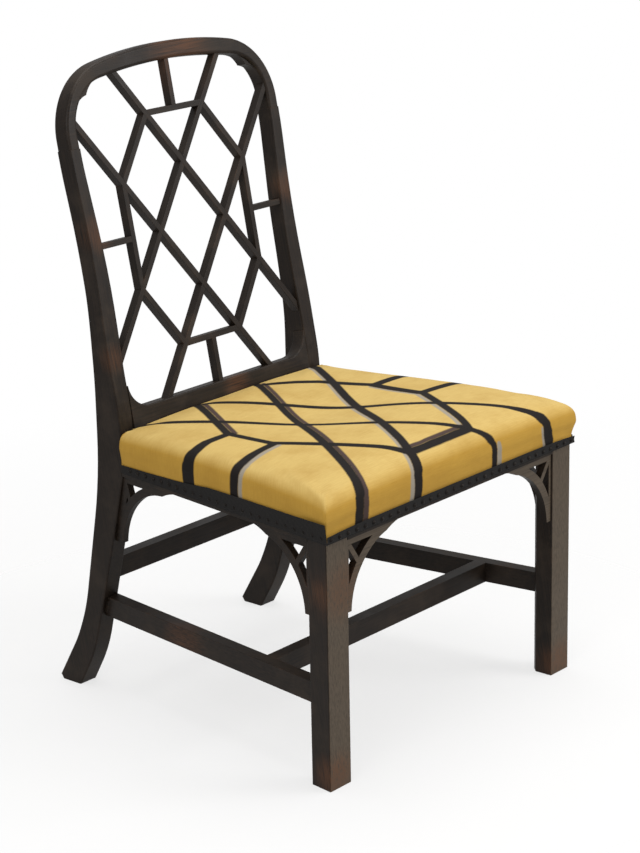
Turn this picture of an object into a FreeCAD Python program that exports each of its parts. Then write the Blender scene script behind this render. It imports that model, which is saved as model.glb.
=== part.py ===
"""Side chair with a lattice back, sabre rear legs, square front legs and an over-upholstered seat.

Lengths are in millimetres. Seen from the front, X runs to the right, Y to the rear and Z up.
Every piece is drawn in one of two frames: the chair frame, whose Y starts at the front faces of the
front legs, and the back frame, which leans with the lattice (x, up the back, out to its front).
"""
import FreeCAD
import Part
import Sketcher
import math
import os

V = FreeCAD.Vector

# Driving dimensions, one row of the sheet each
DIMENSIONS = {
    "front_setback": 291.6,
    "leg_out": 284.0,
    "leg_in": 239.0,
    "leg_depth": 37.5,
    "leg_chamfer": 9.0,
    "rail_bottom": 355.0,
    "rail_top": 400.0,
    "rail_thick": 24.0,
    "tenon_bottom": 365.0,
    "tenon_top": 392.0,
    "rear_out": 224.8,
    "rear_in": 197.0,
    "rear_foot_in": 191.0,
    "waist_out": 218.5,
    "waist_in": 191.5,
    "stile_top_out": 225.5,
    "stile_top_in": 204.5,
    "leg_round": 2.4,
    "rear_front": 438.0,
    "rear_rail_front": 445.0,
    "rake": 10.81,
    "lattice_y": 456.8,
    "lattice_z": 480.0,
    "frame_front": 10.0,
    "frame_depth": 28.0,
    "frame_round": 5.0,
    "shoulder_z": 826.0,
    "crest_z": 953.0,
    "bar_width": 8.8,
    "bar_depth": 14.0,
    "lower_rail_bottom": 420.0,
    "lower_rail_top": 447.3,
    "lower_rail_depth": 22.0,
    "stretcher_bottom": 122.0,
    "stretcher_top": 153.0,
    "stretcher_thick": 20.0,
    "cross_front": 128.0,
    "rear_stretcher_front": 490.0,
    "rear_stretcher_bottom": 177.0,
    "rear_stretcher_top": 208.0,
    "bracket_width": 112.0,
    "bracket_height": 106.0,
    "bracket_thick": 11.0,
    "block_bottom": 366.0,
    "block_top": 394.0,
    "screw_radius": 2.2,
    "screw_head": 4.4,
    "web_width": 50.0,
    "web_thick": 1.4,
    "base_cloth": 1.0,
    "crown_z": 438.5,
    "crown_radius": 4000.0,
    "crown_y": 150.0,
    "cover_bottom": 363.0,
    "cover_rear": 435.0,
    "cover_flare": 5.0,
    "braid_width": 13.0,
    "braid_thick": 1.8,
    "nail_radius": 3.2,
    "nail_rise": 2.0,
    "nail_pitch": 18.0,
}


class Dim:
    """A length read from the sheet, with the formula that leads to it."""

    def __init__(self, value, text):
        self.value = value
        self.text = text

    def __add__(self, other):
        return Dim(self.value + val(other), f"({self.text} + {txt(other)})")

    def __radd__(self, other):
        return Dim(val(other) + self.value, f"({txt(other)} + {self.text})")

    def __sub__(self, other):
        return Dim(self.value - val(other), f"({self.text} - {txt(other)})")

    def __rsub__(self, other):
        return Dim(val(other) - self.value, f"({txt(other)} - {self.text})")

    def __mul__(self, other):
        return Dim(self.value * val(other), f"({self.text} * {txt(other)})")

    def __rmul__(self, other):
        return Dim(val(other) * self.value, f"({txt(other)} * {self.text})")

    def __truediv__(self, other):
        return Dim(self.value / val(other), f"({self.text} / {txt(other)})")

    def __neg__(self):
        return Dim(-self.value, f"(0 - {self.text})")


def val(quantity):
    """Plain number of a sheet length or of a number."""
    if isinstance(quantity, Dim):
        return quantity.value
    return float(quantity)


def txt(quantity):
    """Formula text of a sheet length or of a number."""
    if isinstance(quantity, Dim):
        return quantity.text
    return f"({quantity:.6f})"


class Dims:
    """The sheet's lengths by name."""


doc = FreeCAD.newDocument("lattice_back_chair")
sheet = doc.addObject("Spreadsheet::Sheet", "Dims")
D = Dims()
for row, (name, number) in enumerate(DIMENSIONS.items(), start=1):
    sheet.set(f"A{row}", name)
    sheet.set(f"B{row}", str(number))
    sheet.setAlias(f"B{row}", name)
    setattr(D, name, Dim(number, f"Dims.{name}"))
doc.recompute()

SIDES = (("left", -1), ("right", 1))
RAKE = math.radians(D.rake.value)
pieces = []


# Sketches and features
def origin_plane(body, role):
    """Origin plane of a body by its role."""
    for feature in body.Origin.OriginFeatures:
        if feature.Role == role:
            return feature
    raise ValueError(role)


def bind(owner, path, quantity):
    """Ties a property to the sheet where the quantity comes from it."""
    if isinstance(quantity, Dim):
        owner.setExpression(path, quantity.text)


def pin(sketch, kind, axis, index, position, quantity):
    """Fixes one coordinate of a sketch point."""
    if not isinstance(quantity, Dim) and abs(quantity) < 1e-9:
        sketch.addConstraint(Sketcher.Constraint("PointOnObject", index, position, axis))
        return
    number = sketch.addConstraint(Sketcher.Constraint(kind, -1, 1, index, position, val(quantity)))
    bind(sketch, f"Constraints[{number}]", quantity)


def flat(node):
    """Sketch vector of an outline node."""
    return V(val(node[0]), val(node[1]), 0)


def arc_through(first, middle, last):
    """Arc over three points, with the positions of its two ends."""
    circle = Part.Circle(first, middle, last)
    centre = circle.Center
    turn = (middle - first).cross(last - first).z
    start, end = (first, last) if turn > 0 else (last, first)
    angles = [math.atan2(p.y - centre.y, p.x - centre.x) for p in (start, end)]
    curve = Part.ArcOfCircle(Part.Circle(centre, V(0, 0, 1), circle.Radius), angles[0], angles[1])
    return curve, (1, 2) if turn > 0 else (2, 1)


def draw(sketch, outline):
    """Draws a closed outline. A node (x, y, through) is reached by an arc over the point through."""
    ends = []
    for index, node in enumerate(outline):
        following = outline[(index + 1) % len(outline)]
        if len(following) == 3:
            curve, positions = arc_through(flat(node), flat(following[2]), flat(following))
        else:
            curve, positions = Part.LineSegment(flat(node), flat(following)), (1, 2)
        ends.append((sketch.addGeometry(curve), *positions))
    for index, (geometry, first, last) in enumerate(ends):
        after, start, _ = ends[(index + 1) % len(ends)]
        sketch.addConstraint(Sketcher.Constraint("Coincident", geometry, last, after, start))
    for (geometry, first, _), node in zip(ends, outline):
        pin(sketch, "DistanceX", -2, geometry, first, node[0])
        pin(sketch, "DistanceY", -1, geometry, first, node[1])
    for geometry, _, _ in ends:
        curve = sketch.Geometry[geometry]
        if isinstance(curve, Part.ArcOfCircle):
            sketch.addConstraint(Sketcher.Constraint("Radius", geometry, curve.Radius))


def new_sketch(body, name, plane, middle):
    """Sketch on an origin plane, moved to the coordinate middle along that plane's axis."""
    sketch = body.newObject("Sketcher::SketchObject", f"{name}_sketch")
    sketch.AttachmentSupport = [(origin_plane(body, f"{plane}_Plane"), "")]
    sketch.MapMode = "FlatFace"
    shift = -1 * middle if plane == "XZ" else middle
    sketch.AttachmentOffset = FreeCAD.Placement(V(0, 0, val(shift)), FreeCAD.Rotation())
    bind(sketch, "AttachmentOffset.Base.z", shift)
    return sketch


def slab(body, name, outline, plane, low, high, kind="Pad"):
    """Adds or cuts the prism of an outline between two coordinates of the plane's axis."""
    sketch = new_sketch(body, name, plane, (low + high) / 2)
    draw(sketch, outline)
    feature = body.newObject(f"PartDesign::{kind}", name)
    feature.Profile = sketch
    feature.SideType = "Symmetric"
    length = high - low
    feature.Length = val(length)
    bind(feature, "Length", length)
    return feature


def cut(body, name, outline, plane, low, high):
    """Cuts the prism of an outline."""
    return slab(body, name, outline, plane, low, high, "Pocket")


def bore(body, name, plane, centre, radius, low, high):
    """Cuts a round hole between two coordinates of the plane's axis."""
    sketch = new_sketch(body, name, plane, (low + high) / 2)
    circle = sketch.addGeometry(Part.Circle(V(val(centre[0]), val(centre[1]), 0), V(0, 0, 1), val(radius)))
    pin(sketch, "DistanceX", -2, circle, 3, centre[0])
    pin(sketch, "DistanceY", -1, circle, 3, centre[1])
    number = sketch.addConstraint(Sketcher.Constraint("Radius", circle, val(radius)))
    bind(sketch, f"Constraints[{number}]", radius)
    feature = body.newObject("PartDesign::Pocket", name)
    feature.Profile = sketch
    feature.SideType = "Symmetric"
    feature.Length = val(high - low)
    return feature


def rect(x_low, y_low, x_high, y_high):
    """Rectangle outline between two corners."""
    return [(x_low, y_low), (x_high, y_low), (x_high, y_high), (x_low, y_high)]


def round_edges(body, name, base, radius, wanted):
    """Rounds the edges of a feature that the test picks out."""
    doc.recompute()
    names = [f"Edge{i}" for i, edge in enumerate(base.Shape.Edges, start=1) if wanted(edge)]
    feature = body.newObject("PartDesign::Fillet", name)
    feature.Base = (base, names)
    feature.Radius = val(radius)
    bind(feature, "Radius", radius)
    return feature


def chair_body(label):
    """Body in the chair frame."""
    body = doc.addObject("PartDesign::Body", label)
    body.Label = label
    body.Placement = FreeCAD.Placement(V(0, -D.front_setback.value, 0), FreeCAD.Rotation())
    body.setExpression(".Placement.Base.y", "-Dims.front_setback")
    pieces.append(body)
    return body


def back_body(label):
    """Body in the back frame, whose origin is on the lattice's middle plane."""
    body = doc.addObject("PartDesign::Body", label)
    body.Label = label
    place = V(0, D.lattice_y.value - D.front_setback.value, D.lattice_z.value)
    body.Placement = FreeCAD.Placement(place, FreeCAD.Rotation(V(1, 0, 0), 90 - D.rake.value))
    body.setExpression(".Placement.Base.y", "Dims.lattice_y - Dims.front_setback")
    body.setExpression(".Placement.Base.z", "Dims.lattice_z")
    body.setExpression(".Placement.Rotation.Angle", "90 - Dims.rake")
    pieces.append(body)
    return body


def up(z):
    """Distance up the lattice plane of a height."""
    return (z - D.lattice_z.value) / math.cos(RAKE)


def lean(y, z):
    """Back frame position (up, out) of a depth and a height in the chair frame."""
    dy = y - D.lattice_y.value
    dz = z - D.lattice_z.value
    return dy * math.sin(RAKE) + dz * math.cos(RAKE), -dy * math.cos(RAKE) + dz * math.sin(RAKE)


# Lines of the seat frame in plan
CANT = (D.leg_out - D.rear_out) / D.rear_front


def seat_line(y, inset=0.0):
    """Half width of the seat frame's outer side at a depth, less an inset."""
    return D.leg_out - CANT * y - inset


def side_strip(s, y_front, y_rear, outer, inner):
    """Plan outline of a strip that follows the side of the seat."""
    return [
        (s * seat_line(y_front, outer), y_front),
        (s * seat_line(y_rear, outer), y_rear),
        (s * seat_line(y_rear, inner), y_rear),
        (s * seat_line(y_front, inner), y_front),
    ]


def trim_to_strip(body, s, outer, inner):
    """Cuts away what lies outside and inside a strip along the seat's side."""
    low, high = -20.0, 560.0
    outside = [
        (s * seat_line(low, outer), low),
        (s * 340.0, low),
        (s * 340.0, high),
        (s * seat_line(high, outer), high),
    ]
    inside = [
        (s * seat_line(low, inner), low),
        (s * 150.0, low),
        (s * 150.0, high),
        (s * seat_line(high, inner), high),
    ]
    cut(body, "outer_side", outside, "XY", 0.0, 460.0)
    cut(body, "inner_side", inside, "XY", 0.0, 460.0)


# Front edge of the rear leg below the seat: straight runs between these depths and heights
LEG_FRONT = ((548.0, 0.0), (513.5, 60.0), (468.0, 231.0), (438.0, 355.0))


def leg_front(z):
    """Depth of the rear leg's front face at a height above its curved foot."""
    for (y_low, z_low), (y_high, z_high) in zip(LEG_FRONT[1:], LEG_FRONT[2:]):
        if z <= z_high:
            return y_low + (y_high - y_low) * (z - z_low) / (z_high - z_low)
    return LEG_FRONT[-1][0]


# Tenon sizes shared by a tenon and its mortise
FRONT_TENON = (7.0, 17.0)
SIDE_TENON_REAR = 450.0
REAR_TENON = (453.0, 463.0)
REAR_TENON_END = 214.0
STRETCHER_TENON = (128.0, 147.0)


def side_tenon_front(s):
    """Plan outline of the side rail's tenon in the front leg."""
    return rect(s * (D.leg_in + 22), 14.0, s * (D.leg_in + 32), D.leg_depth)


def side_tenon_rear(s):
    """Plan outline of the side rail's tenon in the rear leg."""
    return rect(s * (D.rear_in + 9), D.rear_front, s * (D.rear_in + 19), SIDE_TENON_REAR)


def stretcher_tenon_front(s):
    """Plan outline of the side stretcher's tenon in the front leg."""
    return rect(s * (D.leg_in + 21), 16.0, s * (D.leg_in + 31), D.leg_depth)


def stretcher_tenon_rear():
    """Side outline of the side stretcher's tenon in the rear leg."""
    low, high = STRETCHER_TENON
    return [
        (leg_front(low), low),
        (leg_front(low) + 15.0, low),
        (leg_front(high) + 15.0, high),
        (leg_front(high), high),
    ]


def leaned(outline):
    """Side outline of the chair frame in the back frame."""
    return [lean(y, z) for y, z in outline]


def eased(corners):
    """Outline whose corners (x, y, radius) are eased with tangent arcs, or sharp where the radius is 0."""
    outline = []
    for index, (x, y, radius) in enumerate(corners):
        point = V(x, y, 0)
        if radius == 0:
            outline.append((x, y))
            continue
        before = V(*corners[index - 1][:2], 0) - point
        after = V(*corners[(index + 1) % len(corners)][:2], 0) - point
        before.normalize()
        after.normalize()
        half = before.getAngle(after) / 2
        reach = radius / math.tan(half)
        middle = point + (before + after).normalize() * (radius / math.sin(half) - radius)
        start, end = point + before * reach, point + after * reach
        outline.append((start.x, start.y))
        outline.append((end.x, end.y, (middle.x, middle.y)))
    return outline


def line_at(y, out):
    """Distance up the back at which an upright line at a depth stands out by a given amount."""
    low, high = lean(y, 0.0), lean(y, 1000.0)
    return low[0] + (out - low[1]) / (high[1] - low[1]) * (high[0] - low[0])


# Front legs
def build_front_leg(side, s):
    """Square leg, its outer face canted with the seat, its inner rear corner chamfered."""
    leg = chair_body(f"front_leg_{side}")
    outline = [
        (s * D.leg_out, 0.0),
        (s * D.leg_in, 0.0),
        (s * D.leg_in, D.leg_depth - D.leg_chamfer),
        (s * (D.leg_in + D.leg_chamfer), D.leg_depth),
        (s * seat_line(D.leg_depth), D.leg_depth),
    ]
    post = slab(leg, "post", outline, "XY", 0.0 * D.rail_top, D.rail_top)

    def long_edge(edge):
        box = edge.BoundBox
        return box.ZLength > 300 and (box.YMax < 1 or abs(box.Center.x) > 260)

    round_edges(leg, "worn_edges", post, 1.6, long_edge)
    front = rect(s * D.leg_in, FRONT_TENON[0], s * (D.leg_in + 20), FRONT_TENON[1])
    cut(leg, "front_rail_mortise", front, "XY", D.tenon_bottom, D.tenon_top)
    cut(leg, "side_rail_mortise", side_tenon_front(s), "XY", D.tenon_bottom, D.tenon_top)
    cut(leg, "stretcher_mortise", stretcher_tenon_front(s), "XY", *STRETCHER_TENON)


# Rear legs
LEG_FRONT_EASE = (0.0, 250.0, 600.0, 40.0)
LEG_REAR = ((488.0, 345.0), (529.5, 125.0), (551.0, 75.0), (591.0, 6.5), (586.0, 0.0))
LEG_REAR_EASE = (700.0, 320.0, 200.0, 0.0, 0.0)
TAPER_LOW = lean(568.0, 0.0)[0]
TAPER_HIGH = lean(470.0, 305.0)[0]
CREST_TENON = (209.0, 221.0)


def taper_half(rise):
    """Inner half width between the rear legs at a distance up the back, below the seat."""
    share = (rise - TAPER_LOW) / (TAPER_HIGH - TAPER_LOW)
    return D.rear_foot_in.value + (D.rear_in.value - D.rear_foot_in.value) * share


def leg_sides(s, top):
    """Outlines cut away inside and outside a rear leg: tapered below the seat, waisted above it."""
    foot = TAPER_LOW - 60.0
    inner = eased([
        (s * 170.0, foot, 0),
        (s * taper_half(foot), foot, 0),
        (s * D.rear_in.value, TAPER_HIGH, 4000.0),
        (s * D.rear_in.value, up(505.0), 600.0),
        (s * D.waist_in.value, up(640.0), 1200.0),
        (s * D.stile_top_in.value, up(805.0), 500.0),
        (s * D.stile_top_in.value, top, 0),
        (s * 170.0, top, 0),
    ])
    outer = eased([
        (s * 250.0, foot, 0),
        (s * D.rear_out.value, foot, 0),
        (s * D.rear_out.value, up(540.0), 1200.0),
        (s * D.waist_out.value, up(672.0), 1500.0),
        (s * D.stile_top_out.value, up(798.0), 800.0),
        (s * D.stile_top_out.value, top, 0),
        (s * 250.0, top, 0),
    ])
    return inner, outer


def build_rear_leg(side, s, housings):
    """Sabre leg and raked stile in one piece, deepest at the seat."""
    leg = back_body(f"rear_leg_{side}")
    front, rear = D.frame_front.value, D.frame_front.value - D.frame_depth.value
    top = up(D.shoulder_z.value)
    knee = line_at(D.rear_front.value, front)
    bend = line_at(LEG_REAR[0][0], rear)
    corners = [(*lean(*point), radius) for point, radius in zip(LEG_FRONT, LEG_FRONT_EASE)]
    corners += [(knee, front, 300.0), (top, front, 0), (top, rear, 0), (bend, rear, 900.0)]
    corners += [(*lean(*point), radius) for point, radius in zip(LEG_REAR, LEG_REAR_EASE)]
    x_low, x_high = sorted((s * 180.0, s * 240.0))
    slab(leg, "side_profile", eased(corners), "YZ", x_low, x_high)
    inner, outer = leg_sides(s, top + 20.0)
    cut(leg, "inner_side", inner, "XY", -300.0, 100.0)
    outer_side = cut(leg, "outer_side", outer, "XY", -300.0, 100.0)

    def long_edge(edge):
        ends = [v.Point for v in edge.Vertexes]
        same_face = abs(abs(ends[0].x) - abs(ends[-1].x)) < 8.0
        level = abs(ends[0].y - ends[-1].y) < 1e-3
        floor = all(D.lattice_z.value + p.y * math.cos(RAKE) + p.z * math.sin(RAKE) < 1e-3 for p in ends)
        return same_face and not level and not floor

    round_edges(leg, "worn_edges", outer_side, D.leg_round, long_edge)
    tongue = rect(s * CREST_TENON[0], top - 5.0, s * CREST_TENON[1], top + 20.0)
    slab(leg, "crest_tenon", tongue, "XY", -10.0, 2.0)
    rail = leaned(rect(D.rear_front.value - 3.0, D.tenon_bottom.value, SIDE_TENON_REAR, D.tenon_top.value))
    x_low, x_high = sorted((s * (D.rear_in.value + 9), s * (D.rear_in.value + 19)))
    cut(leg, "side_rail_mortise", rail, "YZ", x_low, x_high)
    back_rail = leaned(rect(REAR_TENON[0], D.tenon_bottom.value, REAR_TENON[1], D.tenon_top.value))
    x_low, x_high = sorted((s * 190.0, s * REAR_TENON_END))
    cut(leg, "rear_rail_mortise", back_rail, "YZ", x_low, x_high)
    x_low, x_high = sorted((s * 207.0, s * 217.0))
    cut(leg, "stretcher_mortise", leaned(stretcher_tenon_rear()), "YZ", x_low, x_high)
    cross = leaned(rect(495.0, 184.0, 505.0, 201.0))
    x_low, x_high = sorted((s * 180.0, s * 206.0))
    cut(leg, "rear_stretcher_mortise", cross, "YZ", x_low, x_high)
    cut(leg, "lower_rail_mortise", lower_rail_tenon(s), "XY", -7.0, 5.0)
    for number, outline in enumerate(housings, start=1):
        cut(leg, f"lattice_housing_{number}", outline, "XY", -D.bar_depth / 2, D.bar_depth / 2)


# Frame of the back
def lower_rail_tenon(s):
    """Outline of the lower rail's tenon in a stile."""
    return rect(s * (D.rear_in.value - 6.0), up(427.0), s * (D.rear_in.value + 12.0), up(444.0))


def arch_nodes(half, radius, start_z, crown_z):
    """Nodes of an arch from left to right: two corner arcs, tangent to uprights and to a shallow top arc."""
    start, crown = up(start_z), up(crown_z)
    run, fall = half - radius, start - crown
    wide = (radius * radius - run * run - fall * fall) / (2 * (fall + radius))
    top = V(0, crown - wide, 0)
    corner = V(run, start, 0)
    reach = (corner - top).normalize()
    joint = top + reach * wide
    turn = math.atan2(reach.y, reach.x) / 2
    hip = corner + V(math.cos(turn), math.sin(turn), 0) * radius
    return [
        (-half, start),
        (-joint.x, joint.y, (-hip.x, hip.y)),
        (joint.x, joint.y, (0.0, crown)),
        (half, start, (hip.x, hip.y)),
    ]


def reversed_nodes(nodes):
    """The same nodes walked the other way."""
    back = [nodes[-1][:2]]
    for index in range(len(nodes) - 1, 0, -1):
        through = nodes[index][2:]
        back.append((*nodes[index - 1][:2], *through))
    return back


def build_crest_rail(housings):
    """Arched rail whose ends turn down into the stiles, with a small cusp in each inner corner."""
    rail = back_body("crest_rail")
    low = up(D.shoulder_z.value)
    outer = arch_nodes(D.stile_top_out.value, 104.0, 840.0, D.crest_z.value)
    inner = arch_nodes(D.stile_top_in.value, 74.0, 845.0, D.crest_z.value - 26.2)
    outline = [(-D.stile_top_out, low), *outer, (D.stile_top_out, low), (D.stile_top_in, low)]
    outline += reversed_nodes(inner) + [(-D.stile_top_in, low)]
    arch = slab(rail, "arch", outline, "XY", D.frame_front - D.frame_depth, D.frame_front)

    def long_edge(edge):
        box = edge.BoundBox
        return box.ZLength < 1e-3 and not (box.YLength < 1e-3 and abs(box.YMin - low) < 1e-3)

    round_edges(rail, "rounded_edges", arch, D.frame_round, long_edge)
    for side, s in SIDES:
        cusp = [
            (s * 201.0, up(871.0)),
            (s * 171.0, up(897.0), (s * 190.0, up(888.0))),
            (s * 145.0, up(918.0), (s * 162.5, up(908.0))),
            (s * 160.0, up(926.0)),
            (s * 206.0, up(893.0)),
        ]
        slab(rail, f"cusp_{side}", cusp, "XY", -12.0, 5.0)
        socket = rect(s * CREST_TENON[0], low - 5.0, s * CREST_TENON[1], low + 20.0)
        cut(rail, f"stile_mortise_{side}", socket, "XY", -10.0, 2.0)
    for number, bar in enumerate(housings, start=1):
        cut(rail, f"lattice_housing_{number}", bar, "XY", -D.bar_depth / 2, D.bar_depth / 2)


def build_lower_rail(housings):
    """Rail just above the seat, its ends swept up into the stiles."""
    rail = back_body("lower_back_rail")
    bottom, top = up(D.lower_rail_bottom.value), up(D.lower_rail_top.value)
    outline = [
        (-D.rear_in, bottom),
        (D.rear_in, bottom),
        (D.rear_in, up(482.0)),
        (D.rear_in.value - 2.2, up(482.0)),
        (158.0, top, (185.2, up(459.5))),
        (-158.0, top),
        (2.2 - D.rear_in.value, up(482.0), (-185.2, up(459.5))),
        (-D.rear_in, up(482.0)),
    ]
    bar = slab(rail, "bar", outline, "XY", D.frame_front - D.lower_rail_depth, D.frame_front)

    def upper_edge(edge):
        box = edge.BoundBox
        return box.ZLength < 1e-3 and box.XLength > 3.0 and box.YMin > bottom + 1.0

    round_edges(rail, "rounded_edges", bar, 1.8, upper_edge)
    for side, s in SIDES:
        slab(rail, f"tenon_{side}", lower_rail_tenon(s), "XY", -7.0, 5.0)
    for number, strip in enumerate(housings, start=1):
        cut(rail, f"lattice_housing_{number}", strip, "XY", -D.bar_depth / 2, D.bar_depth / 2)


# Lattice: long diagonals x = slope * (z - rise) and the octagon between them
SLOPE = 0.7655
UPPER = 777.2
LOWER = 594.2


def long_point(direction, rise, x):
    """Point of a long diagonal at a half width."""
    return V(x, up(rise + direction * x / SLOPE), 0)


def bar_outline(first, last, half):
    """Outline of a straight bar with square ends."""
    along = (last - first).normalize()
    side = V(-along.y, along.x, 0) * half
    return [(p.x, p.y) for p in (first + side, last + side, last - side, first - side)]


def crossing(point_a, along_a, point_b, along_b):
    """Crossing of two lines in the plane."""
    scale = along_a.x * along_b.y - along_a.y * along_b.x
    gap = point_b - point_a
    share = (gap.x * along_b.y - gap.y * along_b.x) / scale
    return point_a + along_a * share


class Line:
    """Centre line of a bar."""

    def __init__(self, first, last):
        self.first = first
        self.last = last
        self.along = (last - first).normalize()
        self.side = V(-self.along.y, self.along.x, 0)

    def offset_towards(self, target, distance):
        """Point of the parallel line on the target's side."""
        sign = 1 if (target - self.first).dot(self.side) > 0 else -1
        return self.first + self.side * (sign * distance)


def between(line, ends, half, distance):
    """Outline of a bar of half width half that stops at a distance from the lines at its two ends."""
    corners = []
    middle = (line.first + line.last) * 0.5
    for stop in ends:
        edge = stop.offset_towards(middle, distance)
        for sign in (1, -1):
            corners.append(crossing(line.first + line.side * (sign * half), line.along, edge, stop.along))
    order = (corners[0], corners[2], corners[3], corners[1])
    return [(p.x, p.y) for p in order]


def stub(line, stop, half):
    """Outline of a short tenon from a bar into the line at its end."""
    middle = (line.first + line.last) * 0.5
    corners = []
    for distance in (half + 3.0, 1.2):
        edge = stop.offset_towards(middle, distance)
        for sign in (2.2, -2.2):
            corners.append(crossing(line.first + line.side * sign, line.along, edge, stop.along))
    order = (corners[0], corners[2], corners[3], corners[1])
    return [(p.x, p.y) for p in order]


STUB_DEPTH = (-3.5, 3.5)


def build_lattice():
    """Four long diagonals halved across each other, the octagon, two struts and two ties."""
    half = D.bar_width.value / 2
    housed = 6.0
    stile = D.rear_in.value + housed
    longs = {}
    for side, s in SIDES:
        upper_top = long_point(s, UPPER, s * 115.0)
        longs[f"upper_diagonal_{side}"] = Line(upper_top, long_point(s, UPPER, -s * stile))
        lower_foot = long_point(s, LOWER, -s * 115.5)
        longs[f"lower_diagonal_{side}"] = Line(long_point(s, LOWER, s * 208.5), lower_foot)
    left_up, right_up = longs["upper_diagonal_left"], longs["upper_diagonal_right"]
    left_low, right_low = longs["lower_diagonal_left"], longs["lower_diagonal_right"]
    corners = {}
    for side, s in SIDES:
        corners[f"top_{side}"] = (long_point(s, UPPER, s * 60.0), longs[f"upper_diagonal_{side}"])
        corners[f"upper_{side}"] = (long_point(s, LOWER, s * 129.6), longs[f"lower_diagonal_{side}"])
    corners["lower_left"] = (long_point(1, UPPER, -128.6), right_up)
    corners["lower_right"] = (long_point(-1, UPPER, 128.6), left_up)
    corners["bottom_left"] = (long_point(1, LOWER, -59.8), right_low)
    corners["bottom_right"] = (long_point(-1, LOWER, 59.8), left_low)
    edges = {
        "octagon_top": ("top_left", "top_right"),
        "octagon_top_left": ("top_left", "upper_left"),
        "octagon_top_right": ("top_right", "upper_right"),
        "octagon_side_left": ("upper_left", "lower_left"),
        "octagon_side_right": ("upper_right", "lower_right"),
        "octagon_low_left": ("lower_left", "bottom_left"),
        "octagon_low_right": ("lower_right", "bottom_right"),
        "octagon_bottom": ("bottom_left", "bottom_right"),
    }
    depth = (-D.bar_depth / 2, D.bar_depth / 2)
    sockets = {}
    shapes = {}
    lines = {}
    for label, (first, last) in edges.items():
        line = Line(corners[first][0], corners[last][0])
        stops = (corners[first][1], corners[last][1])
        lines[label] = line
        tongues = [stub(line, stop, half) for stop in stops]
        shapes[label] = (between(line, stops, half, half), tongues)
        for stop, tongue in zip(stops, tongues):
            sockets.setdefault(id(stop), []).append(tongue)
    struts = {
        "strut_top": (V(0, up(933.0), 0), lines["octagon_top"], V(0, up(852.0), 0)),
        "strut_bottom": (V(0, up(443.0), 0), lines["octagon_bottom"], V(0, up(518.0), 0)),
        "tie_left": (V(-stile, up(684.3), 0), lines["octagon_side_left"], V(-127.6, up(684.3), 0)),
        "tie_right": (V(stile, up(684.3), 0), lines["octagon_side_right"], V(127.6, up(684.3), 0)),
    }
    for label, (outer, stop, inner) in struts.items():
        line = Line(outer, inner)
        end = Line(outer, outer + V(-line.along.y, line.along.x, 0))
        outline = between(line, (end, stop), half, 0.0)
        trimmed = between(line, (end, stop), half, half)
        outline = [outline[0], trimmed[1], trimmed[2], outline[3]]
        tongue = stub(line, stop, half)
        shapes[label] = (outline, [tongue])
        sockets.setdefault(id(stop), []).append(tongue)
    for label, line in longs.items():
        bar = back_body(label)
        slab(bar, "bar", bar_outline(line.first, line.last, half), "XY", *depth)
        in_front = label.endswith("left")
        lap = (-D.bar_depth, 0.0 * D.bar_depth) if in_front else (0.0 * D.bar_depth, D.bar_depth)
        for other, crossed in longs.items():
            if other.endswith("left") != in_front:
                strip = bar_outline(crossed.first, crossed.last, half)
                cut(bar, f"halving_{other}", strip, "XY", *lap)
        for number, socket in enumerate(sockets.get(id(line), []), start=1):
            cut(bar, f"socket_{number}", socket, "XY", *STUB_DEPTH)
    for label, (outline, tongues) in shapes.items():
        bar = back_body(label)
        slab(bar, "bar", outline, "XY", *depth)
        for number, tongue in enumerate(tongues, start=1):
            slab(bar, f"stub_{number}", tongue, "XY", *STUB_DEPTH)
        if label in lines:
            for number, socket in enumerate(sockets.get(id(lines[label]), []), start=1):
                cut(bar, f"socket_{number}", socket, "XY", *STUB_DEPTH)
    outlines = {label: bar_outline(line.first, line.last, half) for label, line in longs.items()}
    outlines.update({label: shapes[label][0] for label in struts})
    return outlines


# Seat frame
def build_front_rail():
    """Front rail between the legs, flush with them."""
    rail = chair_body("front_seat_rail")
    slab(rail, "bar", rect(-D.leg_in, 0.0, D.leg_in, D.rail_thick), "XY", D.rail_bottom, D.rail_top)
    for side, s in SIDES:
        tenon = rect(s * (D.leg_in - 5), FRONT_TENON[0], s * (D.leg_in + 20), FRONT_TENON[1])
        slab(rail, f"tenon_{side}", tenon, "XY", D.tenon_bottom, D.tenon_top)
        bore(rail, f"screw_hole_{side}", "XZ", (s * SCREW_X, SCREW_Z), D.screw_radius, 9.0, 30.0)


def build_side_rail(side, s):
    """Side rail, canted from the front leg to the rear leg."""
    rail = chair_body(f"side_seat_rail_{side}")
    outline = side_strip(s, D.leg_depth, D.rear_front, 0.0, D.rail_thick + 0.2)
    slab(rail, "bar", outline, "XY", D.rail_bottom, D.rail_top)
    front, rear = side_tenon_front(s), side_tenon_rear(s)
    front[2], front[3] = (front[2][0], D.leg_depth + 4), (front[3][0], D.leg_depth + 4)
    rear[0], rear[1] = (rear[0][0], D.rear_front - 4), (rear[1][0], D.rear_front - 4)
    slab(rail, "front_tenon", front, "XY", D.tenon_bottom, D.tenon_top)
    slab(rail, "rear_tenon", rear, "XY", D.tenon_bottom, D.tenon_top)
    for name, y in (("front", SCREW_FRONT_Y), ("rear", SCREW_REAR_Y)):
        low, high = sorted((s * (seat_line(y).value - 40.0), s * (seat_line(y).value - 9.0)))
        bore(rail, f"screw_hole_{name}", "YZ", (y, SCREW_Z), D.screw_radius, low, high)


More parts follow.
